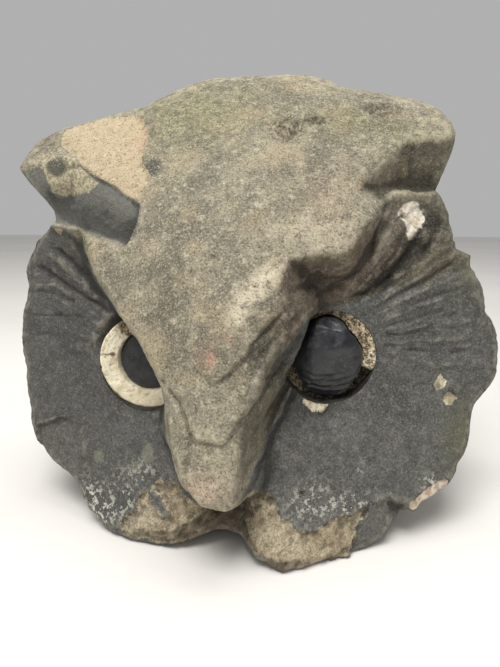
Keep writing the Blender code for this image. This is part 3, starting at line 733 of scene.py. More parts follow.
def colour_fields(mesh, f):
    """What the stone's material reads, each a number for every point of the surface."""
    x, z, w = f["front_x"], f["front_z"], f["side"]
    co = positions(mesh) / MM
    wedge = outside(x, z, WEDGE)
    # black patina on the discs and under the ears; none on the forehead, the beak and the folds beside the right ear
    soot = wedge - 2.0
    soot = np.maximum(soot, f["ear_l"] + 0.5)
    cheek = patch(x, z, ((62, 262), (140, 262), (150, 180), (132, 168), (112, 160), (92, 156), (70, 149), (54, 146), (36, 140), (24, 120), (12, 100), (4, 80), (-6, 110), (20, 180)), 4.0, 14, 201)
    soot = np.minimum(soot, -cheek)
    # painted shade, kept as the cheek attribute: dark colour over the beak's right flank, the creases beside it, the
    # valley under the right ear and the face under that ear, where these hollows and down-turned faces lie in shadow
    painted_shade = 0.84 * smoothstep(-1.5, 2, patch(x, z, ((80, 206), (94, 212), (120, 212), (150, 180), (132, 166), (112, 158), (92, 152), (70, 144), (50, 142), (34, 134), (26, 124), (22, 150), (28, 174), (60, 177), (67, 188)), 3, 9, 211))
    painted_shade = np.maximum(painted_shade, 0.72 * smoothstep(-1.5, 1.5, patch(x, z, FACET_R, 2.2, 6, 212)))
    flank = patch(x, z, ((36, 142), (26, 136), (19, 128), (15, 120), (15, 112), (13, 106), (8, 98), (4, 89), (3, 78), (3, 66), (0, 56), (2, 46), (10, 40), (26, 64), (40, 92), (48, 112)), 1.6, 7, 213)
    painted_shade = np.maximum(painted_shade, (0.58 + 0.34 * smoothstep(95, 115, z)) * smoothstep(-1.5, 2.5, flank))
    creased = patch(x, z, ((38, 158), (24, 151), (17, 142), (9, 132), (5, 125), (9, 121), (15, 119), (20, 126), (36, 142)), 2.0, 6, 215)
    painted_shade = np.maximum(painted_shade, 0.7 * smoothstep(-2.5, 3, creased))
    painted_shade = painted_shade * (1 - 0.6 * bump(x, z, 98, 222, 2.5, 5))
    # painted shadow along the valley under the right ear
    valley, _ = line_distance(x, z, ((108, 196), (99, 178), (86, 162), (66, 150), (48, 145)))
    painted_shade = painted_shade + 0.9 * np.exp(-((valley / 7) ** 2))
    set_attribute(mesh, "cheek", painted_shade * (1 - np.clip(w * 3, 0, 1)))
    # painted shade, kept as the under attribute: the faces where the lobes turn under and face down, away from the
    # light
    low_l = -outside(x, z, ((-80, -20), (-76, 6), (-68, 7), (-61, 11), (-41, 14), (-29, 19), (-14, 27), (4, 34), (3, 18), (10, 12), (16, 10), (36, 9), (64, 5), (66, -20)))
    set_attribute(mesh, "under", smoothstep(-1.5, 2.5, low_l + 1.2 * fbm(x, 0 * x, z, 5, 2, 214)) * (1 - 0.85 * bump(x, z, 46, 4, 11, 5)) * (1 - 0.7 * bump(x, z, -56, 4, 12, 5)))
    # the recess between the lobes: no patina here, and painted shade through the brown attribute, as the recess is set
    # back in shadow
    between = patch(x, z, ((-34, 20), (-14, 30), (5, 36), (9, 18), (4, -12), (-44, -12)), 2.0, 7, 216)
    soot = np.minimum(soot, -between)
    left_moss = patch(x, z, ((-112, 189), (-98, 186), (-88, 172), (-84, 160), (-90, 158), (-100, 172), (-112, 184)), 3, 8, 203)
    soot = np.minimum(soot, -left_moss)
    beak_side = patch(x, z, ((0, 100), (20, 120), (34, 112), (24, 88), (13, 68), (3, 50)), 1.5, 8, 204)
    soot = np.minimum(soot, -beak_side)
    left_side = patch(x, z, ((-30, 96), (-48, 92), (-44, 74), (-38, 56), (-30, 46)), 1.5, 8, 205)
    soot = np.minimum(soot, -left_side)
    soot = np.where(w > 0.02, np.maximum(soot, 8 * w - 1) - 6 * np.clip(w * 3 - 1, 0, 2) * fbm(*co.T, 40, 2, 206), soot)
    crown = (f["front_z"] > 205) & (w > 0)
    soot = np.where(crown, 3 - 14 * smoothstep(0.6, 0.0, w) + 5 * fbm(*co.T, 30, 3, 207), soot)
    set_attribute(mesh, "soot", soot)
    set_attribute(mesh, "fresh", np.where(w > 0.12, -20, np.maximum(f["fresh"], f["ear_chip"])))
    set_attribute(mesh, "white", np.where(w > 0.12, -20, f["white"]))
    set_attribute(mesh, "cream", np.where(w > 0.12, -20, np.maximum(f["cream"], f["chunk"])))
    set_attribute(mesh, "orange", np.where(w > 0.12, -20, f["edge"]))
    worn = f["worn"] - 30 * np.clip(w - 0.10, 0, 1)
    set_attribute(mesh, "worn", worn)
    set_attribute(mesh, "deep", smoothstep(-70, -95, x) * (f["ear_l"] < 0))
    # painted light: the face under the left ear lightened to stand for light falling on it, which its shape leaves in
    # shadow
    set_attribute(mesh, "painted_light_ear", smoothstep(-1, 3, f["ear_l"]) * (w < 0.3))
    set_attribute(mesh, "stain", np.where(w > 0.3, -20, f["stain"]))
    set_attribute(mesh, "bare", np.maximum(f["facet"], f["flake"]))
    dots = np.maximum(8.5 - np.hypot((x + 127) / 0.9, (z - 229) / 0.75), 6 - np.hypot(x + 59, z - 227))
    dots = np.maximum(dots, 0.2 - 0.22 * np.hypot((x + 67) / 1.3, (z - 166) / 0.8))
    dots = np.maximum(dots, 3.4 - np.hypot(x + 60, z - 14))
    dots = np.maximum(dots, 2.4 - np.hypot(x + 57, z - 24))
    set_attribute(mesh, "smudge", dots)
    green = 0.9 * bump(x, z, -42, 262, 46, 24) + 0.6 * bump(x, z, 60, 256, 34, 12) + 0.9 * bump(x, z, 112, 220, 16, 14)
    green = green + 1.0 * bump(x, z, -104, 180, 14, 10) + 0.8 * bump(x, z, 138, 168, 10, 16) + 0.7 * bump(x, z, 116, 196, 10, 12)
    green = green + 1.0 * bump(x, z, 136, 62, 11, 22) + 0.5 * bump(x, z, 100, 246, 20, 10)
    set_attribute(mesh, "moss", green * (1 - 0.5 * np.clip(w, 0, 1)))
    pit = sum(bump(x, z, cx, cz, rx * 0.9, rz * 0.9) for cx, cz, rx, rz in PITS)
    # brown: brown stone under the right brow and in the pits, with painted shade in the recess between the lobes
    set_attribute(mesh, "brown", smoothstep(-5, 5, patch(x, z, BROWN, 3, 10, 208)) + 0.25 * bump(x, z, 20, 84, 10, 24) + 0.9 * smoothstep(-3, 2, between) + 0.7 * bump(x, z, -142, 247, 16, 9) + 0.55 * bump(x, z, 134, 62, 9, 22) + 0.35 * pit)
    # pale: paler worn stone on the ridge of the forehead, with painted highlight where the ridge top catches the light
    set_attribute(mesh, "pale", 1.3 * smoothstep(-6, 5, patch(x, z, PALE, 3, 8, 209)) + 0.35 * bump(x, z, 40, 188, 30, 9) + 0.3 * bump(x, z, -9, 60, 14, 16))
    set_attribute(mesh, "red", 0.9 * bump(x, z, -2, 136, 1.8, 1.9) + 0.9 * bump(x, z, -11, 125, 1.9, 3.6) + 0.3 * bump(x, z, -14, 127, 6, 7) + 0.5 * bump(x, z, -14, 58, 11, 8) + 0.15 * bump(x, z, 48, 205, 14, 20))
    set_attribute(mesh, "pink", 0.8 * smoothstep(-6, 6, patch(x, z, PINK, 3, 8, 210)) + 0.8 * bump(x, z, -68, 248, 8, 14))
    spots = np.maximum(4.2 - np.hypot(x + 94, z - 46), 4.4 - np.hypot((x + 59) / 0.9, (z - 53) / 1.3))
    spots = np.maximum(spots, 3.6 - np.hypot(x + 67, z - 44))
    spots = np.maximum(spots, 3.0 - np.hypot((x + 50) / 0.7, (z - 72) / 1.8))
    set_attribute(mesh, "lichen", spots)
    flecks = 1.0 * bump(x, z, 66, 30, 14, 6) + 0.8 * bump(x, z, 42, 35, 12, 9) + 1.0 * bump(x, z, -100, 22, 10, 9) + 1.0 * bump(x, z, -90, 12, 9, 9)
    flecks = flecks + 1.0 * bump(x, z, 117, 38, 8, 4)
    flecks = flecks + 0.7 * bump(x, z, -74, 24, 12, 14) + 0.5 * bump(x, z, -60, 42, 12, 8) + 0.5 * bump(x, z, 72, 49, 3, 3) + 0.35 * bump(x, z, -55, 75, 8, 6)
    set_attribute(mesh, "flecks", flecks * (w < 0.2))
    set_attribute(mesh, "near", f["near"])
    set_attribute(mesh, "far", f["far"])
    set_attribute(mesh, "side", w)
    set_attribute(mesh, "bed", f["bed"])


# ---------------------------------------------------------------- materials


def linear(r, g, b):
    return tuple(((c / 255) / 12.92 if c / 255 <= 0.04045 else ((c / 255 + 0.055) / 1.055) ** 2.4) for c in (r, g, b)) + (1.0,)


class Graph:
    """Short names for the nodes that the materials are made of."""

    def __init__(self, name):
        self.material = bpy.data.materials.new(name)
        self.material.use_nodes = True
        self.tree = self.material.node_tree
        self.shader = self.tree.nodes["Principled BSDF"]
        self.place = self.tree.nodes.new("ShaderNodeTexCoord").outputs["Object"]

    def link(self, value, socket):
        if isinstance(value, bpy.types.NodeSocket):
            self.tree.links.new(value, socket)
        elif isinstance(value, tuple):
            socket.default_value = value
        else:
            socket.default_value = value

    def attribute(self, name):
        node = self.tree.nodes.new("ShaderNodeAttribute")
        node.attribute_name = name
        return node.outputs["Fac"]

    def noise(self, size_mm, detail=3.0, rough=0.55, distortion=0.0, place=None):
        node = self.tree.nodes.new("ShaderNodeTexNoise")
        self.tree.links.new(place or self.place, node.inputs["Vector"])
        node.inputs["Scale"].default_value = 1000.0 / size_mm
        node.inputs["Detail"].default_value = detail
        node.inputs["Roughness"].default_value = rough
        node.inputs["Distortion"].default_value = distortion
        return node.outputs["Fac"]

    def voronoi(self, size_mm, feature="F1", output="Distance", random=1.0):
        node = self.tree.nodes.new("ShaderNodeTexVoronoi")
        node.feature = feature
        self.tree.links.new(self.place, node.inputs["Vector"])
        node.inputs["Scale"].default_value = 1000.0 / size_mm
        node.inputs["Randomness"].default_value = random
        return node.outputs[output]

    def math(self, operation, a, b=None, c=None, clamp=False):
        node = self.tree.nodes.new("ShaderNodeMath")
        node.operation = operation
        node.use_clamp = clamp
        for value, socket in zip((a, b, c), node.inputs):
            if value is not None:
                self.link(value, socket)
        return node.outputs[0]

    def add(self, *terms):
        total = terms[0]
        for term in terms[1:]:
            total = self.math("ADD", total, term)
        return total

    def times(self, a, b):
        return self.math("MULTIPLY", a, b)

    def centred(self, value, amount):
        """Noise from 0 to 1 turned into plus or minus amount."""
        return self.math("MULTIPLY_ADD", value, 2.0 * amount, -amount)

    def ramp(self, value, low, high, to_low=0.0, to_high=1.0, smooth=True):
        node = self.tree.nodes.new("ShaderNodeMapRange")
        node.interpolation_type = "SMOOTHSTEP" if smooth else "LINEAR"
        node.clamp = True
        self.link(value, node.inputs[0])
        for v, socket in zip((low, high, to_low, to_high), node.inputs[1:5]):
            socket.default_value = v
        return node.outputs[0]

    def mix(self, share, a, b, blend="MIX"):
        node = self.tree.nodes.new("ShaderNodeMix")
        node.data_type = "RGBA"
        node.blend_type = blend
        node.clamp_factor = True
        self.link(share, node.inputs[0])
        self.link(a, node.inputs[6])
        self.link(b, node.inputs[7])
        return node.outputs[2]

    def bump(self, height, distance_mm, strength=1.0, after=None):
        node = self.tree.nodes.new("ShaderNodeBump")
        node.inputs["Strength"].default_value = strength
        node.inputs["Distance"].default_value = distance_mm * MM
        self.link(height, node.inputs["Height"])
        if after:
            self.tree.links.new(after, node.inputs["Normal"])
        return node.outputs["Normal"]


def stone_material():
    g = Graph("carved_sandstone")
    big = g.noise(60, 2.0)
    mid = g.noise(17, 3.0)
    small = g.noise(5.0, 3.0)
    tiny = g.noise(1.9, 3.0, 0.6)
    grain = g.noise(1.15, 2.0, 0.65, 0.4)
    speck = g.voronoi(5.5)

    # weathered skin of the forehead and the beak
    skin = g.mix(g.ramp(big, 0.35, 0.68), linear(112, 107, 94), linear(142, 135, 117))
    skin = g.mix(g.times(g.ramp(mid, 0.46, 0.64), 0.6), skin, linear(156, 148, 126))
    skin = g.mix(g.times(g.ramp(mid, 0.46, 0.32), 0.5), skin, linear(102, 97, 84))
    skin = g.mix(g.times(g.ramp(small, 0.5, 0.36), 0.45), skin, linear(92, 87, 74))
    skin = g.mix(g.times(g.ramp(small, 0.56, 0.70), 0.65), skin, linear(182, 174, 152))
    warm = g.ramp(g.noise(26, 2.0), 0.50, 0.70)
    skin = g.mix(g.times(warm, 0.4), skin, linear(166, 148, 118))
    moss = g.attribute("moss")
    mossy = g.math("MULTIPLY", moss, g.ramp(g.noise(11, 3.0), 0.3, 0.6, 0.45, 1.0), clamp=True)
    skin = g.mix(g.times(mossy, 0.9), skin, g.mix(g.ramp(small, 0.4, 0.62), linear(102, 100, 74), linear(130, 126, 92)))
    # painted shade from the cheek attribute: dark brown-grey over the creases, the valley and the beak's right flank,
    # where they lie in shadow
    painted_shade = g.math("MULTIPLY", g.attribute("cheek"), g.ramp(small, 0.25, 0.6, 0.75, 1.0), clamp=True)
    skin = g.mix(painted_shade, skin, g.mix(g.ramp(mid, 0.38, 0.64), linear(42, 39, 35), linear(66, 62, 54)))
    # brown stone, with painted shade in the recess between the lobes
    brown = g.math("MULTIPLY", g.attribute("brown"), g.ramp(mid, 0.2, 0.6, 0.6, 1.0), clamp=True)
    skin = g.mix(brown, skin, g.mix(g.ramp(small, 0.4, 0.65), linear(84, 74, 64), linear(108, 96, 82)))
    red = g.math("MULTIPLY", g.attribute("red"), g.ramp(tiny, 0.38, 0.58, 0.25, 1.0), clamp=True)
    skin = g.mix(g.times(red, 0.7), skin, linear(206, 148, 126))
    pink = g.math("MULTIPLY", g.attribute("pink"), g.ramp(tiny, 0.3, 0.6, 0.3, 0.9), clamp=True)
    skin = g.mix(g.times(pink, 0.22), skin, linear(132, 112, 102))
    # paler worn stone on the forehead ridge, with painted highlight where the ridge top catches the light
    pale = g.math("MULTIPLY", g.attribute("pale"), g.ramp(small, 0.3, 0.58, 0.25, 1.0), clamp=True)
    skin = g.mix(g.times(pale, 0.8), skin, linear(212, 200, 175))

    # black patina
    black = g.mix(g.ramp(mid, 0.36, 0.66), linear(70, 71, 69), linear(88, 88, 85))
    black = g.mix(g.times(g.ramp(big, 0.45, 0.62), 0.4), black, linear(90, 90, 86))
    black = g.mix(g.times(g.ramp(small, 0.54, 0.70), 0.50), black, linear(122, 120, 112))
    black = g.mix(g.times(g.ramp(small, 0.46, 0.32), 0.6), black, linear(54, 54, 53))
    black = g.mix(g.times(g.ramp(grain, 0.50, 0.66), 0.30), black, linear(124, 122, 114))
    black = g.mix(g.times(g.ramp(grain, 0.50, 0.36), 0.35), black, linear(48, 48, 47))
    black = g.mix(g.times(g.attribute("deep"), 0.30), black, linear(58, 58, 57))
    black = g.mix(g.times(mossy, 0.7), black, linear(92, 92, 68))
    soot = g.add(g.attribute("soot"), g.centred(mid, 3.0), g.centred(small, 2.5), g.centred(tiny, 0.8))
    soot_mask = g.ramp(soot, -1.6, 2.0)
    colour = g.mix(soot_mask, skin, black)

    # painted light on the face under the left ear
    colour = g.mix(g.times(g.attribute("painted_light_ear"), 0.50), colour, linear(128, 128, 120))

    # bare broken facets keep the patina but thinner
    bare = g.ramp(g.add(g.attribute("bare"), g.centred(small, 0.8)), -0.4, 0.6)
    colour = g.mix(g.times(bare, 0.5), colour, g.mix(g.ramp(tiny, 0.35, 0.65), linear(78, 77, 74), linear(110, 107, 100)))

    # dark blotches, the stained ear and the lichen
    smudge = g.ramp(g.add(g.attribute("smudge"), g.centred(small, 2.5), g.centred(tiny, 1.0)), -2.0, 2.5)
    stain = g.ramp(g.add(g.attribute("stain"), g.centred(small, 1.6), g.centred(tiny, 0.8)), -0.8, 0.8)
    colour = g.mix(stain, colour, g.mix(g.ramp(tiny, 0.36, 0.62), linear(134, 127, 104), linear(186, 176, 148)))
    colour = g.mix(g.times(smudge, 0.9), colour, linear(70, 70, 66))
    lichen = g.ramp(g.add(g.attribute("lichen"), g.centred(tiny, 1.8)), -0.8, 1.2)
    colour = g.mix(g.times(lichen, 0.5), colour, linear(124, 126, 108))

    # worn lobes
    worn = g.ramp(g.add(g.attribute("worn"), g.centred(small, 3.0), g.centred(tiny, 2.0), g.centred(grain, 0.6)), -0.5, 0.5)
    tan = g.mix(g.ramp(small, 0.36, 0.64), linear(144, 131, 108), linear(170, 157, 132))
    tan = g.mix(g.times(g.ramp(grain, 0.50, 0.66), 0.45), tan, linear(206, 194, 164))
    tan = g.mix(g.times(g.ramp(grain, 0.50, 0.36), 0.45), tan, linear(98, 84, 66))
    tan = g.mix(g.times(g.ramp(mid, 0.5, 0.36), 0.4), tan, linear(122, 104, 78))
    # painted shade: darker brown on the undersides of the lobes, which face down away from the light
    under = g.ramp(g.attribute("under"), 0.0, 1.0)
    tan = g.mix(g.times(under, 0.75), tan, g.mix(g.ramp(small, 0.4, 0.62), linear(62, 54, 45), linear(94, 83, 67)))
    colour = g.mix(worn, colour, tan)
    rust = g.ramp(g.add(g.attribute("worn"), g.centred(small, 1.5)), 1.6, 0.0)
    colour = g.mix(g.times(g.times(rust, worn), 0.10), colour, linear(178, 140, 108))

    # fresh breaks
    new_stone = g.mix(g.ramp(small, 0.34, 0.62), linear(172, 154, 124), linear(184, 168, 138))
    new_stone = g.mix(g.times(g.ramp(grain, 0.54, 0.68), 0.6), new_stone, linear(134, 108, 80))
    new_stone = g.mix(g.times(g.ramp(tiny, 0.54, 0.70), 0.5), new_stone, linear(206, 196, 172))
    new_stone = g.mix(g.times(pink, 0.7), new_stone, linear(184, 146, 120))
    fresh = g.ramp(g.add(g.attribute("fresh"), g.centred(small, 1.1), g.centred(tiny, 0.6)), -0.35, 0.45)
    colour = g.mix(fresh, colour, new_stone)
    chalk = g.mix(g.ramp(small, 0.4, 0.6), linear(176, 162, 142), linear(222, 214, 198))
    white = g.ramp(g.add(g.attribute("white"), g.centred(small, 3.0), g.centred(tiny, 1.0)), -0.5, 1.2)
    colour = g.mix(white, colour, chalk)
    cream = g.ramp(g.add(g.attribute("cream"), g.centred(small, 1.6), g.centred(tiny, 0.8)), -0.3, 0.5)
    colour = g.mix(cream, colour, g.mix(g.ramp(small, 0.42, 0.60), linear(172, 158, 128), linear(220, 211, 184)))
    orange = g.ramp(g.add(g.attribute("orange"), g.centred(small, 1.6), g.centred(tiny, 0.8)), -0.3, 0.5)
    colour = g.mix(orange, colour, g.mix(g.ramp(small, 0.42, 0.60), linear(180, 152, 128), linear(220, 208, 188)))

    # white flecks where the patina has flaked
    fleck = g.math("MULTIPLY", g.attribute("flecks"), g.ramp(g.noise(3.6, 3.0, 0.75, 0.2), 0.53, 0.58), clamp=True)
    colour = g.mix(fleck, colour, linear(192, 190, 178))

    # hidden sides: dull dressed stone
    side = g.ramp(g.attribute("side"), 0.35, 0.8)
    dull = g.mix(g.ramp(mid, 0.35, 0.66), linear(98, 94, 84), linear(132, 125, 108))
    colour = g.mix(g.times(side, 0.75), colour, dull)
    bed = g.attribute("bed")
    sawn = g.mix(g.ramp(mid, 0.35, 0.66), linear(152, 140, 116), linear(176, 163, 136))
    sawn = g.mix(g.times(g.ramp(small, 0.5, 0.66), 0.35), sawn, linear(206, 198, 178))
    colour = g.mix(bed, colour, sawn)

    # grains of the sandstone, light and dark
    keep = g.math("MULTIPLY", g.ramp(soot_mask, 0.0, 1.0, 1.0, 0.20), g.ramp(painted_shade, 0.0, 1.0, 1.0, 0.35))
    keep = g.math("MULTIPLY", keep, g.ramp(g.times(g.attribute("under"), 1.0), 0.0, 1.0, 1.0, 0.35))
    keep = g.math("MULTIPLY", keep, g.ramp(worn, 0.0, 1.0, 1.0, 0.7))
    colour = g.mix(g.times(g.ramp(grain, 0.52, 0.70), g.times(keep, 0.45)), colour, linear(202, 194, 166))
    colour = g.mix(g.times(g.ramp(grain, 0.48, 0.31), g.times(keep, 0.70)), colour, linear(66, 60, 48))
    colour = g.mix(g.times(g.ramp(tiny, 0.54, 0.70), g.times(keep, 0.22)), colour, linear(206, 192, 158))
    colour = g.mix(g.times(g.ramp(speck, 0.07, 0.045), g.times(keep, 0.35)), colour, linear(224, 214, 190))

    # painted shade in the hollows, wear on the edges
    near, far = g.attribute("near"), g.attribute("far")
    painted_hollow_shade = g.math("ADD", g.ramp(near, 0.04, 0.5, 0.0, 0.55), g.ramp(far, 0.3, 3.0, 0.0, 0.5), clamp=True)
    colour = g.mix(painted_hollow_shade, colour, g.mix(0.68, colour, linear(30, 28, 26)))
    edge = g.times(g.ramp(near, -0.10, -0.5), g.ramp(small, 0.35, 0.6))
    colour = g.mix(g.times(edge, 0.4), colour, g.mix(0.5, colour, linear(190, 180, 158)))

    g.link(colour, g.shader.inputs["Base Color"])
    g.link(g.ramp(soot_mask, 0.0, 1.0, 0.92, 0.74), g.shader.inputs["Roughness"])
    g.shader.inputs["Specular IOR Level"].default_value = 0.35
    height = g.add(g.times(grain, 0.6), g.times(tiny, 0.9))
    normal = g.bump(height, 0.8, 0.9)
    normal = g.bump(small, 1.0, 0.5, normal)
    g.tree.links.new(normal, g.shader.inputs["Normal"])
    return g.material


def socket_material():
    g = Graph("socket_stone")
    mid, tiny = g.noise(8, 3.0), g.noise(1.6, 2.0)
    # painted shade: the walls of the drilled sockets near-black, darker than the stone's patina, as they lie in shadow
    colour = g.mix(g.ramp(mid, 0.35, 0.65), linear(34, 33, 31), linear(66, 62, 54))
    colour = g.mix(g.times(g.ramp(tiny, 0.52, 0.7), 0.4), colour, linear(110, 100, 80))
    g.link(colour, g.shader.inputs["Base Color"])
    g.shader.inputs["Roughness"].default_value = 0.92
    g.tree.links.new(g.bump(g.add(mid, tiny), 0.8, 0.7), g.shader.inputs["Normal"])
    return g.material


def mortar_material():
    """Pale mortar, brown and gritty where the cream attribute is low."""
    g = Graph("pale_mortar_rough")
    mid, small, tiny = g.noise(9, 3.0), g.noise(3.0, 3.0), g.noise(1.1, 2.0)
    pale = g.mix(g.ramp(mid, 0.35, 0.66), linear(224, 211, 180), linear(244, 234, 208))
    pale = g.mix(g.times(g.ramp(small, 0.60, 0.70), 0.55), pale, linear(150, 120, 82))
    pale = g.mix(g.times(g.ramp(tiny, 0.62, 0.72), 0.6), pale, linear(120, 98, 70))
    gritty = g.mix(g.ramp(small, 0.38, 0.62), linear(96, 84, 66), linear(170, 150, 118))
    gritty = g.mix(g.times(g.ramp(tiny, 0.52, 0.62), 0.7), gritty, linear(216, 198, 168))
    gritty = g.mix(g.times(g.ramp(tiny, 0.46, 0.36), 0.7), gritty, linear(74, 58, 40))
    share = g.ramp(g.add(g.attribute("cream"), g.centred(small, 0.35), g.centred(tiny, 0.15)), 0.35, 0.65)
    colour = g.mix(share, gritty, pale)
    spot = g.ramp(g.attribute("spot"), 0.0, 1.0)
    colour = g.mix(g.times(spot, 0.85), colour, linear(92, 66, 42))
    # painted shade in the hollows of the mortar's front
    rim = g.ramp(g.attribute("near"), 0.05, 0.5, 0.0, 0.6)
    colour = g.mix(rim, colour, linear(58, 48, 36))
    # painted shadow from the dark attribute: the top of each ring under the brow, and the lower right of the right ring
    # where it is lost into the socket
    mortar_painted_shadow = g.math("MULTIPLY", g.attribute("dark"), g.ramp(small, 0.66, 0.40, 0.7, 1.0), clamp=True)
    colour = g.mix(mortar_painted_shadow, colour, g.mix(g.ramp(tiny, 0.45, 0.65), linear(34, 31, 27), linear(70, 62, 50)))
    g.link(colour, g.shader.inputs["Base Color"])
    g.shader.inputs["Roughness"].default_value = 0.9
    g.shader.inputs["Specular IOR Level"].default_value = 0.3
    g.tree.links.new(g.bump(g.add(g.times(small, 0.8), tiny), 0.7, 0.7), g.shader.inputs["Normal"])
    return g.material


def black_material(name, dull):
    """Black stone; dull is the roughness of its skin."""
    g = Graph(name)
    mid, small, tiny = g.noise(12, 3.0), g.noise(3.2, 3.0), g.noise(0.9, 2.0)
    colour = g.mix(g.ramp(mid, 0.36, 0.64), linear(36, 37, 40), linear(54, 55, 56))
    colour = g.mix(g.times(g.ramp(small, 0.55, 0.72), 0.35), colour, linear(84, 85, 83))
    colour = g.mix(g.times(g.ramp(tiny, 0.66, 0.74), 0.5), colour, linear(128, 126, 118))
    # painted highlight: the ridges between the broken faces lightened to a bluish grey, as glints
    colour = g.mix(g.ramp(g.attribute("near"), -0.03, -0.25, 0.0, 0.6), colour, linear(112, 114, 118))
    # painted shadow from the dark attribute: near-black navy on the right plug's top under the brow and, less, on its
    # lower faces
    colour = g.mix(g.math("MULTIPLY", g.attribute("dark"), 0.88, clamp=True), colour, linear(15, 16, 24))
    g.link(colour, g.shader.inputs["Base Color"])
    g.link(g.ramp(small, 0.3, 0.7, dull - 0.12, dull + 0.12), g.shader.inputs["Roughness"])
    g.shader.inputs["Specular IOR Level"].default_value = 0.5
    g.tree.links.new(g.bump(g.add(g.times(mid, 1.2), g.times(small, 0.7), g.times(tiny, 0.25)), 0.6, 0.55), g.shader.inputs["Normal"])
    return g.material


# ---------------------------------------------------------------- eyes


def polar_piece(name, centre, outer, inner, front, back, rows, sides, mat, fields):
    """A ring (or a disc, where inner is None) with a shaped front, straight walls and a flat back.
    outer and inner give radii at an angle, front(x, z, a, t) the depth; t runs from 0 at the outer edge to 1 at the inner."""
    a = np.arange(sides) / sides * 2 * np.pi
    verts, rings = [], []

    def add(radius, depth):
        x, z = radius * np.cos(a), radius * np.sin(a)
        d = depth(x, z) if callable(depth) else np.full(sides, float(depth))
        rings.append(np.arange(len(verts), len(verts) + sides))
        verts.extend(np.stack([centre[0] + x, -d, centre[1] + z - BED_CENTRE_Z], -1) * MM)

    ro = outer(a)
    ri = inner(a) if inner else 0.0 * a
    add(ro, back)
    add(ro, lambda x, z: back + 0.5 * (front(x, z, a, 0.0) - back))
    for t in np.linspace(0, 1 if inner else 0.97, rows):
        add(ro + (ri - ro) * t, lambda x, z, t=t: front(x, z, a, t))
    if inner:
        add(ri, lambda x, z: back + 0.5 * (front(x, z, a, 1.0) - back))
        add(ri, back)
    faces = []
    pairs = list(zip(rings, rings[1:])) + ([(rings[-1], rings[0])] if inner else [])
    for low, high in pairs:
        for i in range(sides):
            j = (i + 1) % sides
            faces.append((int(low[i]), int(low[j]), int(high[j]), int(high[i])))
    if not inner:
        faces.append(tuple(int(i) for i in rings[0][::-1]))
        faces.append(tuple(int(i) for i in rings[-1]))
    obj = new_object(name, verts, faces, mat)
    mesh = obj.data
    co = positions(mesh) / MM
    x, z = co[:, 0] - centre[0], co[:, 2] + BED_CENTRE_Z - centre[1]
    for key, f in fields.items():
        set_attribute(mesh, key, f(x, z, -co[:, 1]))
    # hollows and edges from the front's own shape
    normals = vertex_normals(mesh)
    edge_sum = np.zeros((len(co), 3))
    edge_count = np.zeros(len(co))
    ends = np.array([e.vertices[:] for e in mesh.edges])
    for s, t in ((0, 1), (1, 0)):
        np.add.at(edge_sum, ends[:, s], co[ends[:, t]])
        np.add.at(edge_count, ends[:, s], 1)
    near = ((edge_sum / edge_count[:, None] - co) * normals).sum(-1)
    set_attribute(mesh, "near", near)
    return obj


def plug_front_right(x, z, a, t):
    """A knapped dome: broken faces that meet in edges, rippled as such stone breaks."""
    rx, rz = PLUG_R
    share = np.clip((x / rx) ** 2 + ((z + 1) / (rz + 1)) ** 2, 0, 1)
    dome = PLUG_R_FRONT - 3.5 + 11.0 * (1 - share**1.5)
    wx = x + 0.9 * fbm(x, 0 * x, z, 9, 2, 303)
    wz = z + 0.9 * fbm(x, 0 * x, z, 9, 2, 304)
    faces = (
        117.6 - 1.25 * (wz - 15.0) - 0.10 * wx,
        117.8 - 0.42 * (wz - 7.5) + 0.03 * wx,
        117.9 - 0.05 * wx + 0.02 * wz,
        117.4 - 0.62 * (wx - 11.0) + 0.10 * wz,
        117.2 + 0.55 * (wx + 12.0) - 0.03 * wz,
        117.0 + 0.42 * (wz + 8.0) - 0.10 * (wx - 4.0),
        116.0 + 0.95 * (wz + 15.5) + 0.12 * wx,
    )
    d = faces[0]
    for other in faces[1:]:
        d = smin(d, other, 0.5)
    d = smin(d, dome, 1.0)
    ripple = np.sin(np.hypot(x - 17, z - 3) * 1.05 + 1.2 * fbm(x, 0 * x, z, 12, 2, 301)) * 0.20 * smoothstep(20, 4, np.hypot(x - 10, z - 1))
    low = np.sin(np.hypot(x + 2, z - 22) * 1.5 + 1.6 * fbm(x, 0 * x, z, 9, 2, 305)) * 0.34 * smoothstep(-6, -13, z)
    notch = -2.2 * np.exp(-(((x - 17.5) / 2.6) ** 2 + ((z - 1) / 1.2) ** 2))
    ledges = 0.0
    for run, depth in ((((-15, -12), (-8, -16.5), (-2, -12.5), (6, -8.5)), 0.9), (((-13, -17), (0, -19), (10, -12)), 0.7), (((-12, 16), (-2, 17.5), (9, 15)), 0.15)):
        ledges = ledges - crease(x, z, run, 1.1, depth, True)
    return d + ripple + low + notch + ledges + 0.35 * fbm(x, 0 * x, z, 7, 3, 302) - 0.3


def plug_front_left(x, z, a, t):
    share = np.clip((x / PLUG_L[0]) ** 2 + (z / PLUG_L[1]) ** 2, 0, 1)
    edge = 1.8 * smoothstep(0.82, 1.0, share)
    return PLUG_L_FRONT + 2.4 * (1 - share) - edge + 0.45 * fbm(x, 0 * x, z, 9, 3, 311) - 0.05 * z


def ring_front_left(x, z, a, t):
    """Highest at the outer edge, where it meets the disc; sunk and brown at its top."""
    a = np.degrees(np.arctan2(z, x)) % 360
    sunk = 3.6 * smoothstep(150, 112, a) * smoothstep(60, 90, a)
    level = 107.6 - 2.6 * t - 0.9 * t**3
    gritty = 0.9 * fbm(x, 0 * x, z, 6, 3, 321) - 0.9 * smoothstep(0.2, 0.6, fbm(x, 0 * x, z, 3.0, 2, 322))
    return level + gritty - sunk - 0.6 * smoothstep(0.10, 0.0, t)


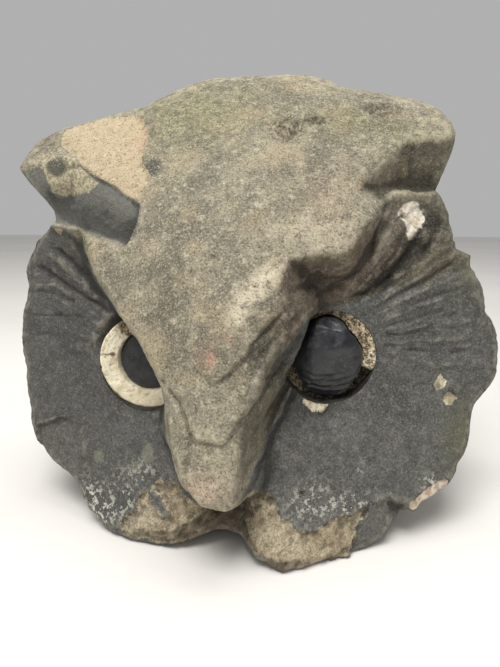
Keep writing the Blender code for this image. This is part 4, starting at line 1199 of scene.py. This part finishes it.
def ring_front_right(x, z, a, t):
    """Gritty, flush with the disc on the right, lost at the lower right and with a pale lump at the lower left."""
    a = np.degrees(np.arctan2(z, x)) % 360
    gritty = 1.1 * fbm(x, 0 * x, z, 5, 3, 331) - 1.1 * smoothstep(0.15, 0.6, fbm(x, 0 * x, z, 2.6, 2, 332))
    lost = 8.0 * smoothstep(262, 290, a) * smoothstep(347, 334, a)
    sunk = 2.6 * smoothstep(62, 96, a) * smoothstep(275, 262, a)
    return 108.0 - 2.2 * t + gritty - lost - sunk


def make_eyes(mortar, black_dull, black_gloss):
    sides = 180
    rows = 30

    def plug_outline(a):
        """The knapped plug: an oval with its upper right and lower right struck off."""
        d = np.degrees(a) % 360
        cut = 1 - 0.13 * np.exp(-(((d - 50) / 24) ** 2)) - 0.06 * np.exp(-(((d - 318) / 18) ** 2)) - 0.04 * np.exp(-(((d - 130) / 24) ** 2))
        low = 1.8 * np.exp(-(((d - 262) / 26) ** 2))
        return body_r(a) * cut + low + 0.35 * np.sin(9 * a + 0.5) * np.sin(4 * a)

    def wobble(radius, amount, seed, lobes=(5, 11, 23)):
        def f(a):
            total = 0.0
            for i, k in enumerate(lobes):
                total = total + np.sin(k * a + seed * (1.7 + i)) * amount / (1 + i)
            return radius(a) - np.abs(total) if callable(radius) else radius - np.abs(total)
        return f

    def ellipse(rx, rz, grow=0.0):
        return lambda a: (rx * rz) / np.sqrt((rz * np.cos(a)) ** 2 + (rx * np.sin(a)) ** 2) + grow

    def cream_left(x, z, d):
        a = np.degrees(np.arctan2(z, x)) % 360
        return 1.0 - 0.9 * smoothstep(36, 12, np.abs(a - 106))

    def cream_right(x, z, d):
        a = np.degrees(np.arctan2(z, x)) % 360
        return 0.40 + 0.10 * smoothstep(34, 8, np.abs((a + 180) % 360 - 180 + 8))

    # painted shadow on the right ring: along its top and left side under the brow, and where it is lost into the socket
    # at the lower right
    def dark_right(x, z, d):
        a = np.degrees(np.arctan2(z, x)) % 360
        lost = smoothstep(225, 245, a) * smoothstep(347, 336, a)
        return np.maximum(lost, 0.75 * smoothstep(44, 92, a) * smoothstep(250, 215, a))

    # painted shadow on the left ring's top, under the brow
    def dark_left(x, z, d):
        a = np.degrees(np.arctan2(z, x)) % 360
        return 0.8 * smoothstep(34, 10, np.abs(a - 104)) * smoothstep(22, 29, np.hypot(x, z))

    # painted shadow on the right plug's top under the brow, and less on its lower faces
    def top_right(x, z, d):
        return smoothstep(6, 13, z + 0.12 * x) + 0.35 * smoothstep(-9, -20, z)

    def spot_left(x, z, d):
        return smoothstep(2.2, 0.8, np.hypot(x + 22.5, z - 4.5)) + 0.8 * smoothstep(0.9, 0.3, np.abs(z - 4.6)) * smoothstep(-22, -24, x)

    made = []
    body_l = ellipse(*PLUG_L)
    body_r = ellipse(*PLUG_R)
    plug_l = polar_piece("eye_plug_left_matte", EYE_L, wobble(body_l, 0.25, 1.0), None, plug_front_left, SOCKET_FLOOR + GAP, rows, sides, black_dull, {})
    plug_r = polar_piece("eye_plug_right_knapped", EYE_R, wobble(plug_outline, 0.25, 2.0), None, plug_front_right, SOCKET_FLOOR + GAP, rows * 2, sides, black_gloss, {"dark": top_right})
    ring_l = polar_piece("mortar_ring_left_rough", EYE_L, wobble(lambda a: SOCKET_L - 0.12 + 0 * a, 0.05, 3.0), lambda a: body_l(a) + GAP + 0.1 + 0.3 * np.abs(np.sin(6 * a)),
                         ring_front_left, SOCKET_FLOOR + GAP, rows, sides, mortar, {"cream": cream_left, "spot": spot_left, "dark": dark_left})
    ring_r = polar_piece("mortar_ring_right_rough", EYE_R, wobble(lambda a: SOCKET_R - 0.12 + 0 * a, 0.05, 4.0), lambda a: np.minimum(plug_outline(a) + GAP + 0.1 + 0.3 * np.abs(np.sin(7 * a)), 27.4),
                         ring_front_right, SOCKET_FLOOR + GAP, rows, sides, mortar, {"cream": cream_right, "spot": lambda x, z, d: 0 * x, "dark": dark_right})
    for piece, node, slot in ((plug_l, "eye_plug_left", "black_stone"), (plug_r, "eye_plug_right", "black_stone"),
                              (ring_l, "mortar_ring_left", "pale_mortar"), (ring_r, "mortar_ring_right", "pale_mortar")):
        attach(piece, "root")
        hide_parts(node)
        made.append(piece)
    return made


# ---------------------------------------------------------------- stage


def make_stage(floor_z):
    g = Graph("floor_plain")
    soft = g.noise(400, 2.0)
    g.link(g.mix(g.ramp(soft, 0.3, 0.7), linear(222, 219, 213), linear(228, 225, 220)), g.shader.inputs["Base Color"])
    g.shader.inputs["Roughness"].default_value = 0.85
    bm = bmesh.new()
    bmesh.ops.create_grid(bm, x_segments=4, y_segments=4, size=4.0)
    mesh = bpy.data.meshes.new("floor")
    bm.to_mesh(mesh)
    bm.free()
    mesh.materials.append(g.material)
    floor = bpy.data.objects.new("floor", mesh)
    floor.location = (0, 0, floor_z)
    bpy.context.scene.collection.objects.link(floor)

    world = bpy.data.worlds.new("studio")
    world.use_nodes = True
    back = world.node_tree.nodes["Background"]
    back.inputs["Color"].default_value = (0.87, 0.87, 0.87, 1)
    back.inputs["Strength"].default_value = 0.50
    bpy.context.scene.world = world

    def lamp(name, where, at, size, power, colour=(1, 1, 1)):
        data = bpy.data.lights.new(name, "AREA")
        data.shape = "RECTANGLE"
        data.size, data.size_y = size
        data.energy = power
        data.color = colour
        obj = bpy.data.objects.new(name, data)
        obj.location = where
        obj.rotation_euler = (Vector(at) - Vector(where)).to_track_quat("-Z", "Y").to_euler()
        bpy.context.scene.collection.objects.link(obj)

    lamp("key", (-0.2, -0.85, 1.6), (0, -0.08, 0), (1.0, 0.7), 31, (1.0, 0.99, 0.975))
    lamp("top", (0.1, 0.0, 1.7), (0, -0.08, 0), (1.0, 1.0), 13, (0.98, 0.99, 1.0))


def make_camera():
    turn, down = math.radians(6.0), math.radians(13.6)
    r = Vector((math.cos(turn), math.sin(turn), 0))
    ahead = Vector((-math.sin(turn), math.cos(turn), 0))
    forward = ahead * math.cos(down) - Vector((0, 0, 1)) * math.sin(down)
    up = ahead * math.sin(down) + Vector((0, 0, 1)) * math.cos(down)
    data = bpy.data.cameras.new("camera")
    data.sensor_fit = "AUTO"
    data.sensor_width = 36
    data.lens = 501 / 667 * 36
    data.clip_start = 0.01
    camera = bpy.data.objects.new("camera", data)
    camera.matrix_world = Matrix.Translation(Vector((0.0348, -0.4076, 0.0500))) @ Matrix((r, up, -forward)).transposed().to_4x4()
    bpy.context.scene.collection.objects.link(camera)
    bpy.context.scene.camera = camera


def main():
    stone, socket = stone_material(), socket_material()
    head = make_head(stone, socket)
    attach(head, "root")
    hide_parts("stone_head")
    make_eyes(mortar_material(), black_material("black_stone_matte", 0.72), black_material("black_stone_knapped", 0.42))
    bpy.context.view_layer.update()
    low = min(v.co.z for v in head.data.vertices)
    make_stage(low - 0.0001)
    make_camera()
    bpy.context.scene.view_settings.view_transform = "Standard"
    print("head", len(head.data.vertices), "points")


main()
